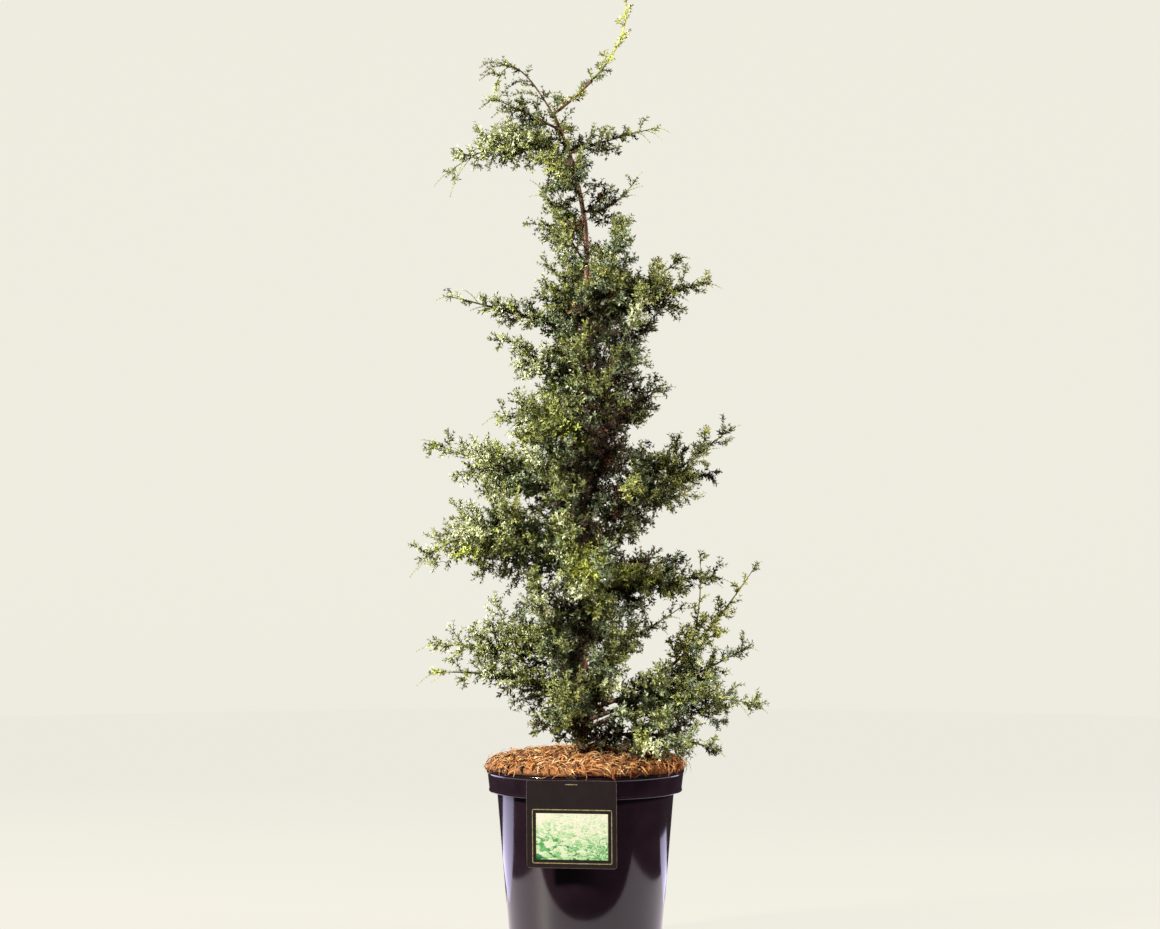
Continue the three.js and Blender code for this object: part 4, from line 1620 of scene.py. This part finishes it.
    def add_knobs(self, sprig: Twig, side: Vector, size: float) -> None:
        """Sets short leafy knobs alternately along a longer sprig.

        Args:
            sprig: The sprig that carries them.
            side: A direction square to the sprig.
            size: The length of a needle.
        """
        if sprig.length < self.knob_from:
            return
        count = int(sprig.length * self.knob_share / self.knob_spacing)
        for k in range(count):
            start = sprig.point(lerp(*self.knob_run, (k + self.fine()) / count))
            away = side if k % 2 else -side
            heading = sprig.direction * 0.6 + away * self.vary(0.6, 0.3) + UP * (0.3 * self.fine())
            length = self.knob_length * self.vary(0.7, 0.6)
            self.twigs.append(Twig(start, heading.normalized(), length, Vector(), self.knob_thick,
                                   (size, 0.75 * size), 0.0, sprig.shade, sprig.wood))

    def add_whips(self) -> None:
        """Lets a few thin young whips arch over from the limb's end, with small, sparse needles."""
        limb = self.limb
        thinner = 0.75 if limb.plan.spread < 40 else 1
        for k in range(self.whips):
            at = 0.99 - 0.09 * k - 0.03 * self.fine()
            turn = FULL_TURN * self.fine()
            spread = branch(limb.heading(at), turn, 12 + 30 * self.fine() * min(k, 1), 0.1)
            length = self.whip_length * self.vary(0.7, 0.5) * thinner
            droop = UP * self.vary(-0.2, -0.4)
            if past_frame(limb.point(at) + (spread + droop) * length) > self.past_most:
                length *= self.past_shorter
            whip = Twig(limb.point(at), spread, length, droop, self.whip_thick, self.whip_needles, 0.1,
                        Shade.YOUNG, Wood.YOUNG)
            if self.standing([whip.point(1)]) >= 0:
                self.twigs.append(whip)

    def add_twig(self, root: Vector, direction: Vector, wanted: float) -> float:
        """Grows the longest twig that fits.

        Args:
            root: Where it leaves the stem.
            direction: Where it points.
            wanted: Its wanted length.

        Returns:
            Its length, or 0 where none fits.
        """
        for size in self.sizes:
            length = wanted * size
            places = [root + direction * (length * share) for share in (0.4, 0.7, 1)]
            if self.standing([root, *places]) < self.margin or self.touches(places):
                continue
            wood = Wood.YOUNG if self.limb.young else Wood.BROWN
            shade = self.tones.pick(self.limb, root, self.fine())
            self.twigs.append(Twig(root, direction, length * self.twig_run_on, Vector(), self.twig_thick,
                                   (self.needle_length, 0.9 * self.needle_length), 0.3, shade, wood))
            return length
        return 0.0

    def grow_mass(self) -> None:
        """Grows one mass: twigs wind round the stem by the golden angle and sprays alternate along them."""
        limb, plan = self.limb, self.limb.plan
        random = Seeded(self.seed + limb.index)
        if plan.core > 0:
            # The frame's source draws the corners of its solid core first.
            for _ in range(self.core_corners):
                random()
        count = max(self.twig_fewest, round(limb.length * (1 - limb.stem_from) / self.twig_spacing))
        turn = FULL_TURN * random()
        for i in range(count):
            along = (i + 0.5) / count
            at = lerp(limb.stem_from, 1, along)
            root = limb.point(at)
            turn += GOLDEN_ANGLE
            reach = plan.spread * self.fullness(along) * (1 + self.twig_spread * (random() - 0.5))
            spray = plan.spray * (1 - plan.shrink * along) * (1 + self.spray_spread * (random() - 0.5))
            direction = branch(limb.heading(at), turn, self.twig_angle, self.twig_lift)
            wanted = reach - self.spray_past * spray
            if wanted < self.twig_shortest:
                self.add_spray(root, direction, spray, math.pi * random())
                continue
            length = self.add_twig(root, direction, wanted)
            self.add_spray(root + direction * length, direction, spray, math.pi * random())
            beside = round(length / self.spray_spacing)
            for k in range(beside):
                spot = length * (k + self.spray_first) / (beside + 1 - self.spray_first)
                out = branch(direction, turn + k * math.pi, self.spray_angle, self.spray_lift)
                self.add_spray(root + direction * spot, out, self.spray_beside * spray, math.pi * random())
        forward = limb.heading(1)
        last = plan.spray * (1 - plan.shrink)
        self.add_spray(limb.point(1) - forward * (self.spray_end * last), forward, last, math.pi * random())

    def fill_core(self) -> None:
        """Fills the dense inside of a mass with short leafy sprays."""
        limb, plan = self.limb, self.limb.plan
        if plan.core <= 0:
            return
        run = limb.length * (1 - limb.stem_from) * plan.core_to
        count = round(run / self.core_spacing)
        turn = FULL_TURN * self.fine()
        for i in range(count):
            at = lerp(limb.stem_from, 1, plan.core_to * (i + self.fine()) / count)
            turn += GOLDEN_ANGLE
            direction = branch(limb.heading(at), turn, self.core_angle, self.twig_lift)
            length = plan.core * plan.spread * self.vary(0.9, 0.7)
            foot = limb.point(at) + direction * self.core_out
            self.add_spray(foot, direction, length, math.pi * self.fine())

    def fill_between(self) -> None:
        """Grows finer sprays on the stem between the main twigs."""
        limb, plan = self.limb, self.limb.plan
        if plan.spread < self.thin_spread:
            return
        count = round(limb.length * (1 - limb.stem_from) / self.between_spacing)
        turn = FULL_TURN * self.fine()
        for i in range(count):
            along = (i + self.fine()) / count
            at = lerp(limb.stem_from, 1, along)
            turn += GOLDEN_ANGLE
            lift = self.twig_lift if i % 2 else self.hanging_lift
            direction = branch(limb.heading(at), turn, self.between_angle, lift)
            length = self.between_share * plan.spread * self.fullness(along) * self.vary(0.7, 0.6)
            if length > self.between_shortest:
                self.add_spray(limb.point(at), direction, length, math.pi * self.fine())

    def add_arches(self) -> None:
        """Lets fine leafy twigs arch out from a limb of the top."""
        limb = self.limb
        for k in range(self.arches):
            at = self.vary(0.1 + 0.18 * k, 0.05)
            azimuth = math.radians(limb.plan.azimuth + self.stray(self.arch_fan))
            outward = Vector((math.cos(azimuth), math.sin(azimuth), self.vary(0.35, 0.5))).normalized()
            length = self.arch_length * (1 - 0.5 * at) * self.vary(0.8, 0.4)
            droop = UP * self.vary(-0.4, -0.4)
            shade = Shade.BLUE if k % 2 else Shade.MID
            arch = Twig(limb.point(at), outward, length, droop, self.arch_thick, self.arch_needles, 0.08,
                        shade, Wood.BROWN)
            self.twigs.append(arch)
            self.add_knobs(arch, outward.cross(UP).normalized(), self.arch_needles[0])

    def add_tufts(self) -> None:
        """Sets small leafy tufts alternately along the leader."""
        for k, at in enumerate(self.tufts):
            turn = math.pi * self.vary(k, 0.25)
            direction = branch(self.limb.heading(at), turn, self.tuft_angle, 0.0)
            length = (25 - 18 * at) * self.vary(0.8, 0.4)
            self.add_loose(self.limb.point(at), direction, length)

    def dress_trunk(self) -> None:
        """Grows short sprays on the trunk itself, where the photograph shows little bare wood."""
        turn = 0.0
        for low, high, count in self.dressed:
            for i in range(count):
                share = (i + self.fine()) / count
                at = TRUNK.share_at(lerp(low, high, share))
                turn += GOLDEN_ANGLE
                direction = branch(UP, turn, 62 - 26 * share, 0.0)
                self.trunk_spray(at, direction, self.vary(24, 12) * (1 - 0.25 * share))
        for low, high, count, azimuth, length in self.slots:
            for i in range(count):
                at = TRUNK.share_at(lerp(low, high, (i + self.fine()) / count))
                turn = math.radians(azimuth + 90 + self.stray(70))
                direction = branch(UP, turn, self.vary(50, 24), 0.0)
                self.trunk_spray(at, direction, length * self.vary(0.7, 0.5))

    def trunk_spray(self, at: float, direction: Vector, length: float) -> None:
        """Grows one spray on the trunk, in the tone of the mass that it reaches into.

        Args:
            at: The share of the trunk's height.
            direction: Where it points.
            length: Its length.
        """
        root = TRUNK.point(at) + direction * TRUNK.radius(at)
        away = self.site_centres - np.array(root + direction * length)
        apart = (away ** 2).sum(1) - self.site_radii ** 2
        self.limb = self.limbs[self.site_masses[apart.argmin()]]
        self.add_loose(root, direction, length)

    def grow(self) -> None:
        """Grows every mass, then what the top and the trunk alone carry."""
        for limb in self.limbs:
            self.limb = limb
            self.fine = Seeded(self.seed * 7 + limb.index)
            self.grow_mass()
            self.fill_core()
            self.fill_between()
            self.add_whips()
            self.fine = Seeded(self.seed * 11 + limb.index)
            if limb.plan.name in self.arching:
                self.add_arches()
            if limb.plan.name == "leader":
                self.add_tufts()
        self.fine = Seeded(self.seed * 13)
        self.dress_trunk()
        log.info("crown: %d twigs", len(self.twigs))

    def skeleton(self, twigs: Sequence[Twig], steps: int = 3) -> Object:
        """Builds the bare lines that needles grow along, with the needles' size at each point.

        Args:
            twigs: The twigs.
            steps: How many lengths each line has.

        Returns:
            An object of edges, which is used up.
        """
        lines, sizes = [], []
        for twig in twigs:
            for i in range(steps + 1):
                share = lerp(twig.needle_from, 1, i / steps)
                lines.append(twig.point(share))
                sizes.append(lerp(*twig.needle, share) * MM)
        first = np.arange(len(twigs))[:, None] * (steps + 1) + np.arange(steps)[None]
        edges = np.stack([first.ravel(), first.ravel() + 1], 1)
        mesh = bpy.data.meshes.new("lines")
        mesh.from_pydata((np.array(lines) * MM).tolist(), edges.tolist(), [])
        mesh.attributes.new("needle_size", "FLOAT", "POINT").data.foreach_set("value", sizes)
        return add_object("lines", mesh)

    def needle(self) -> Object:
        """Builds one needle of unit length: a keeled blade that is widest near its foot.

        Returns:
            The needle, which is used up.
        """
        points = [(0, 0, 0), (0, 0.05, 1), (-0.22, -0.1, 0.42), (0.22, -0.1, 0.42)]
        faces = [(0, 3, 2), (1, 2, 3), (0, 2, 1), (0, 1, 3)]
        mesh = bpy.data.meshes.new("one_needle")
        mesh.from_pydata(points, [], faces)
        shape = bmesh.new()
        shape.from_mesh(mesh)
        bmesh.ops.recalc_face_normals(shape, faces=shape.faces)
        shape.to_mesh(mesh)
        shape.free()
        return add_object("one_needle", mesh)

    def build_needles(self, shade: Shade, tree: NodeTree, needle: Object) -> None:
        """Builds the needles of one tone, in pieces of a bounded size.

        Args:
            shade: The tone.
            tree: The tree that sets them in whorls.
            needle: The one needle.
        """
        twigs = [twig for twig in self.twigs if twig.shade is shade]
        if not twigs:
            return
        young = shade is Shade.YOUNG
        nodes = [f"foliage_{limb.plan.name}" for limb in self.limbs if limb.young or not young]
        finish = shade.value.make()
        run = sum(twig.length * (1 - twig.needle_from) for twig in twigs)
        faces = run / self.whorl_spacing * self.needles_in_whorl * self.needle_faces
        parts = max(1, math.ceil(faces / self.piece_faces))
        for part in range(parts):
            lines = self.skeleton(twigs[part::parts])
            settings = {"Needle": needle, "Spacing": self.whorl_spacing * MM, "Seed": 31 + part,
                        "Finish": finish}
            leaves = from_nodes(f"{shade.value.name}_{part + 1}", lines, tree, settings)
            bpy.data.objects.remove(lines, do_unlink=True)
            present(leaves, "young_foliage" if young else "foliage", *nodes)

    def build_twigs(self, wood: Wood) -> None:
        """Builds the twigs of one skin, the long ones with more steps than the short ones.

        Args:
            wood: The skin.
        """
        twigs = [twig for twig in self.twigs if twig.wood is wood]
        finish = wood.value.make()
        short = [twig for twig in twigs if twig.length < self.twig_long]
        long = [twig for twig in twigs if twig.length >= self.twig_long]
        for name, steps, chosen in (("sprigs", 1, short), ("twigs", 4, long)):
            if not chosen:
                continue
            shares = [i / steps for i in range(steps + 1)]
            lines = np.array([[tuple(twig.point(share)) for share in shares] for twig in chosen])
            thick = np.array([[lerp(*twig.thick, share) for share in shares] for twig in chosen])
            present(tubes(f"{wood.value.name}_{name}", lines, thick, 3, finish), "bark")

    def build(self) -> None:
        """Builds the needles by tone and the twigs by skin."""
        tree = needle_tree()
        needle = self.needle()
        for shade in Shade:
            self.build_needles(shade, tree, needle)
        bpy.data.objects.remove(needle, do_unlink=True)
        for wood in Wood:
            self.build_twigs(wood)


def needle_tree() -> NodeTree:
    """Builds the tree that sets needles in threes along every line, each whorl turned against the last.

    Returns:
        The geometry tree.
    """
    tree, start, end = new_tree("needles_in_whorls", [
        ("Needle", "NodeSocketObject"), ("Spacing", "NodeSocketFloat"), ("Seed", "NodeSocketInt"),
        ("Finish", "NodeSocketMaterial")])
    curve = add_node(tree, "GeometryNodeMeshToCurve", {"Mesh": start.outputs["Geometry"]})
    even = add_node(tree, "GeometryNodeResampleCurve", {
        "Curve": curve.outputs[0], "Length": start.outputs["Spacing"]}, mode="LENGTH")
    points = add_node(tree, "GeometryNodeCurveToPoints", {"Curve": even.outputs[0]}, mode="EVALUATED")
    threes = add_node(tree, "GeometryNodeDuplicateElements", {
        "Geometry": points.outputs["Points"], "Amount": 3}, domain="POINT")
    index = add_node(tree, "GeometryNodeInputIndex")
    whorl = add_node(tree, "ShaderNodeMath", {0: index.outputs[0], 1: 3.0}, operation="DIVIDE")
    level = add_node(tree, "ShaderNodeMath", {0: whorl.outputs[0]}, operation="FLOOR")
    shift = add_node(tree, "ShaderNodeMath", {0: level.outputs[0], 1: math.pi / 3}, operation="MULTIPLY")
    third = add_node(tree, "ShaderNodeMath", {0: index.outputs[0], 1: FULL_TURN / 3, 2: shift.outputs[0]},
                     operation="MULTIPLY_ADD")
    wobble = add_node(tree, "FunctionNodeRandomValue", {2: -0.5, 3: 0.5, "Seed": start.outputs["Seed"]})
    turn = add_node(tree, "ShaderNodeMath", {0: third.outputs[0], 1: wobble.outputs[1]})
    spin = add_node(tree, "FunctionNodeAxisAngleToRotation", {"Axis": (0, 0, 1), "Angle": turn.outputs[0]})
    opening = add_node(tree, "FunctionNodeRandomValue", {2: -1.2, 3: -0.6, "Seed": start.outputs["Seed"]})
    tilt = add_node(tree, "FunctionNodeAxisAngleToRotation", {
        "Axis": (1, 0, 0), "Angle": opening.outputs[1]})
    spun = add_node(tree, "FunctionNodeRotateRotation", {
        0: points.outputs["Rotation"], 1: spin.outputs[0]}, rotation_space="LOCAL")
    tilted = add_node(tree, "FunctionNodeRotateRotation", {
        0: spun.outputs[0], 1: tilt.outputs[0]}, rotation_space="LOCAL")
    size = add_node(tree, "GeometryNodeInputNamedAttribute", {"Name": "needle_size"}, data_type="FLOAT")
    vary = add_node(tree, "FunctionNodeRandomValue", {2: 0.75, 3: 1.2, "Seed": start.outputs["Seed"]})
    scale = add_node(tree, "ShaderNodeMath", {0: size.outputs[0], 1: vary.outputs[1]}, operation="MULTIPLY")
    needle = add_node(tree, "GeometryNodeObjectInfo", {"Object": start.outputs["Needle"]})
    placed = add_node(tree, "GeometryNodeInstanceOnPoints", {
        "Points": threes.outputs["Geometry"], "Instance": needle.outputs["Geometry"],
        "Rotation": tilted.outputs[0], "Scale": scale.outputs[0]})
    finish_tree(tree, placed.outputs[0], start.outputs["Finish"], end)
    return tree


def ring_frames(lines: np.ndarray) -> tuple[np.ndarray, np.ndarray]:
    """Gives two directions square to each line at each of its points.

    Args:
        lines: Points by line, as count x points x 3.

    Returns:
        The two directions, each of the same shape.
    """
    ahead = np.gradient(lines, axis=1)
    ahead /= np.linalg.norm(ahead, axis=2, keepdims=True)
    helper = np.where(np.abs(ahead[:, :1, 2:]) < 0.8, np.array([0.0, 0, 1]), np.array([1.0, 0, 0]))
    across = np.cross(np.broadcast_to(helper, ahead.shape), ahead)
    across /= np.linalg.norm(across, axis=2, keepdims=True)
    return across, np.cross(ahead, across)


def tubes(name: str, lines: np.ndarray, thick: np.ndarray, sides: int, material: Material) -> Object:
    """Builds a closed tapering tube along each line, joined in one mesh.

    Args:
        name: The object's name.
        lines: Points by line, as count x points x 3.
        thick: The radius at each point, as count x points.
        sides: How many sides a tube has.
        material: Its finish.

    Returns:
        The tubes.
    """
    count, length, _ = lines.shape
    across, over = ring_frames(lines)
    angles = np.arange(sides) * FULL_TURN / sides
    rings = (across[:, :, None] * np.cos(angles)[None, None, :, None]
             + over[:, :, None] * np.sin(angles)[None, None, :, None])
    points = lines[:, :, None] + rings * thick[:, :, None, None]
    return build_object(name, points.reshape(-1, 3), tube_faces(count, length, sides), material)


@dataclass
class Woodwork:
    """The trunk, the boughs and the stems of the masses, with the bark's relief in their meshes.

    The relief is drawn coarser than young bark, so that it shows.
    """

    limbs: list[Limb]
    trunk_sides: int = 44
    trunk_step: float = 2.0
    limb_sides: int = 14
    stem_sides: int = 8
    limb_step: float = 2.5
    bark_to: float = 0.6
    leader_bark_to: float = 0.24
    leader_green_to: float = 0.4
    strip_width: float = 3.0
    strip_length: float = 26
    crumb: float = 1.4
    crumb_share: float = 0.35
    trunk_relief: float = 0.55
    limb_relief: float = 0.16
    stem_relief: float = 0.06
    thinnest: float = 0.25
    slim: float = 0.8
    whips_slim: float = 0.55

    def rough(self, spot: Vector, height: float) -> float:
        """Gives the bark's relief at a place: narrow strips that run along the wood, and crumbs.

        Args:
            spot: The place round the wood's own line.
            height: How far up it is.

        Returns:
            The relief, from about -1 to 1.
        """
        width = self.strip_width
        strips = noise.noise(Vector((spot.x / width, spot.y / width, height / self.strip_length)))
        return strips + self.crumb_share * noise.noise(spot / self.crumb)

    def sleeve(self, name: str, points: list[Vector], radii: list[float], sides: int,
               relief: float, material: Material) -> Object:
        """Builds one limb with relief, closed at both ends.

        Args:
            name: The object's name.
            points: The limb's line.
            radii: Its radius at each point.
            sides: How many sides go round.
            relief: How deep the bark's strips are.
            material: Its finish.

        Returns:
            The limb.
        """
        line = np.array([[tuple(p) for p in points]])
        across, over = ring_frames(line)
        corners = []
        for i, radius in enumerate(radii):
            centre = Vector(line[0, i])
            for k in range(sides):
                angle = FULL_TURN * k / sides
                out = Vector(across[0, i]) * math.cos(angle) + Vector(over[0, i]) * math.sin(angle)
                depth = relief * self.rough(out * radius, centre.length)
                corners.append(tuple(centre + out * max(self.thinnest, radius + depth)))
        return build_object(name, corners, tube_faces(1, len(radii), sides), material)

    def build(self) -> None:
        """Builds the trunk, then the boughs and the stems inside the masses."""
        bark = JuniperBark().make()
        steps = round((TRUNK.top - TRUNK.foot) / self.trunk_step)
        shares = [i / steps for i in range(steps + 1)]
        line = [TRUNK.point(share) for share in shares]
        radii = [TRUNK.radius(share) for share in shares]
        trunk = self.sleeve("trunk_bark", line, radii, self.trunk_sides, self.trunk_relief, bark)
        for vertex in trunk.data.vertices:
            vertex.co.z = max(vertex.co.z, TRUNK.foot * MM)
        present(trunk, "bark", "trunk")
        young = Wood.YOUNG.value.make()
        green = Wood.GREEN.value.make()
        for limb in self.limbs:
            end = self.bark_to
            if limb.plan.name == "leader":
                self.stem("stem_leader", limb, 0.0, self.leader_bark_to, bark)
                end = self.leader_green_to
                self.stem("stem_middle_leader", limb, self.leader_bark_to, end, green)
            else:
                self.stem(f"stem_{limb.plan.name}", limb, 0.0, end, bark)
            self.stem(f"stem_end_{limb.plan.name}", limb, end, 1.0, young if limb.young else green)

    def stem(self, name: str, limb: Limb, first: float, last: float, material: Material) -> None:
        """Builds a stretch of a limb.

        Args:
            name: The piece's name.
            limb: The limb.
            first: The share of its run where the stretch starts.
            last: The share where it ends.
            material: Its finish.
        """
        count = max(4, round(limb.length * (last - first) / self.limb_step))
        shares = [lerp(first, last, i / count) for i in range(count + 1)]
        slim = self.whips_slim if limb.plan.name == "crown_whips" else self.slim
        points = [limb.point(share) for share in shares]
        radii = [slim * limb.radius(share) for share in shares]
        sides, relief, nodes = self.stem_sides, self.stem_relief, []
        if limb.plan.bough > 0 and first == 0:
            sides, relief, nodes = self.limb_sides, self.limb_relief, [f"bough_{limb.plan.name}"]
        present(self.sleeve(name, points, radii, sides, relief, material), "bark", *nodes)


@dataclass
class Studio:
    """The pale seamless paper, the soft lights and the camera at the photograph's place."""

    camera_x: float = -6.45
    camera_distance: float = 2600
    camera_height: float = 459
    aim_height: float = 563
    frame_width: float = 1361
    sensor: float = 36
    sees_to: float = 100
    floor_reach: float = 4000
    bend: float = 1400
    bend_steps: int = 16
    top: float = 6400
    sides: int = 96
    lamps_aim: float = 0.6
    air: str = "#f6e4ea"
    air_strength: float = 0.045

    def paper(self) -> None:
        """Builds the round floor, and the backdrop that sweeps up from it on all sides and closes above."""
        paper = SeamlessPaper().make()
        reach, bend = self.floor_reach, self.bend
        floor = turned("paper_floor", [(0, -0.2), (reach, -0.2), (0, -1.2)], self.sides, paper)
        profile = [(0, -2.0), (reach, -0.2)]
        for k in range(1, self.bend_steps + 1):
            angle = k / self.bend_steps * math.pi / 2
            profile.append((reach + bend * math.sin(angle), bend - bend * math.cos(angle)))
        profile += [(reach + bend, self.top), (0, self.top)]
        sweep = turned("paper_sweep", profile, self.sides, paper)
        sweep.visible_shadow = False
        for sheet in (floor, sweep):
            sheet.visible_diffuse = False
            sheet.visible_glossy = False

    def reflector(self, name: str, centre: Sequence[float], size: Sequence[float], colour: str,
                  glow: float) -> None:
        """Lays a glowing board on the floor that shows only as a reflection in the pot.

        Args:
            name: The board's name.
            centre: Its middle in millimetres.
            size: Its width and depth in millimetres.
            colour: Its colour.
            glow: How strongly it glows.
        """
        x, y, z = centre
        width, depth = size
        corners = [(-1, -1), (1, -1), (1, 1), (-1, 1)]
        points = [[x + a * width / 2, y + b * depth / 2, z] for a, b in corners]
        finish = GlowingBoard(name, colour, glow).make()
        board = build_object(name, points, [[0, 1, 2, 3]], finish, smooth=False)
        board.visible_camera = False
        board.visible_diffuse = False
        board.visible_shadow = False

    def lamp(self, name: str, place: Sequence[float], size: float, watts: float, colour: str) -> Object:
        """Adds a square soft light that faces the plant.

        Args:
            name: The light's name.
            place: Where it stands, in metres.
            size: Its side in metres.
            watts: Its strength.
            colour: Its colour.

        Returns:
            The light.
        """
        data = bpy.data.lights.new(name, "AREA")
        data.size = size
        data.energy = watts
        data.color = linear(colour)[:3]
        lamp = add_object(name, data)
        lamp.location = place
        self.face(lamp, Vector((0, 0, self.lamps_aim)))
        lamp.visible_camera = False
        return lamp

    @staticmethod
    def face(thing: Object, aim: Vector) -> None:
        """Turns a lamp or the camera to a place, in metres."""
        thing.rotation_euler = (aim - thing.location).to_track_quat("-Z", "Y").to_euler()

    def camera(self) -> None:
        """Sets up the camera."""
        data = bpy.data.cameras.new("camera")
        data.sensor_fit = "HORIZONTAL"
        data.sensor_width = self.sensor
        drop = self.aim_height - self.camera_height
        data.lens = self.sensor * math.hypot(self.camera_distance, drop) / self.frame_width
        data.clip_end = self.sees_to
        camera = add_object("camera", data)
        camera.location = Vector((self.camera_x, -self.camera_distance, self.camera_height)) * MM
        self.face(camera, Vector((self.camera_x, 0, self.aim_height)) * MM)
        bpy.context.scene.camera = camera

    def build(self) -> None:
        """Builds the whole studio."""
        self.paper()
        self.lamp("key", (-3.0, -1.5, 2.3), 0.4, 400, "#fff9e8")
        fill = self.lamp("fill", (3.2, -0.8, 1.7), 0.8, 190, "#fff0e8")
        fill.visible_glossy = False
        self.reflector("reflector_near", (0, 60, 0.3), (680, 500), "#e6dde2", 1.5)
        self.reflector("reflector_left", (-470, 395, 0.6), (500, 450), "#dcd6fa", 2.7)
        self.reflector("reflector_right", (345, 360, 0.6), (330, 260), "#dcd6fa", 2.4)
        world = bpy.data.worlds.new("studio_air")
        world.use_nodes = True
        links = {"Color": linear(self.air), "Strength": self.air_strength}
        feed(world.node_tree, world.node_tree.nodes["Background"], links)
        bpy.context.scene.world = world
        bpy.context.scene.view_settings.view_transform = "Standard"
        self.camera()


def main() -> None:
    """Builds the studio, then the pot and what is in it, then the wood and the crown."""
    logging.basicConfig(level=logging.INFO, format="%(name)s %(message)s")
    Studio().build()
    pot = NurseryPot()
    pot.build()
    dress("potting_mix", PeatMix().make())
    mulch = CoirMulch(pot)
    mulch.build()
    HangingCard(pot).build()
    limbs = [Limb(plan, index) for index, plan in enumerate((*SIDE_LIMBS, *PLUMES))]
    Woodwork(limbs).build()
    crown = Crown(limbs, mulch)
    crown.grow()
    crown.build()


if __name__ == "__main__":
    main()
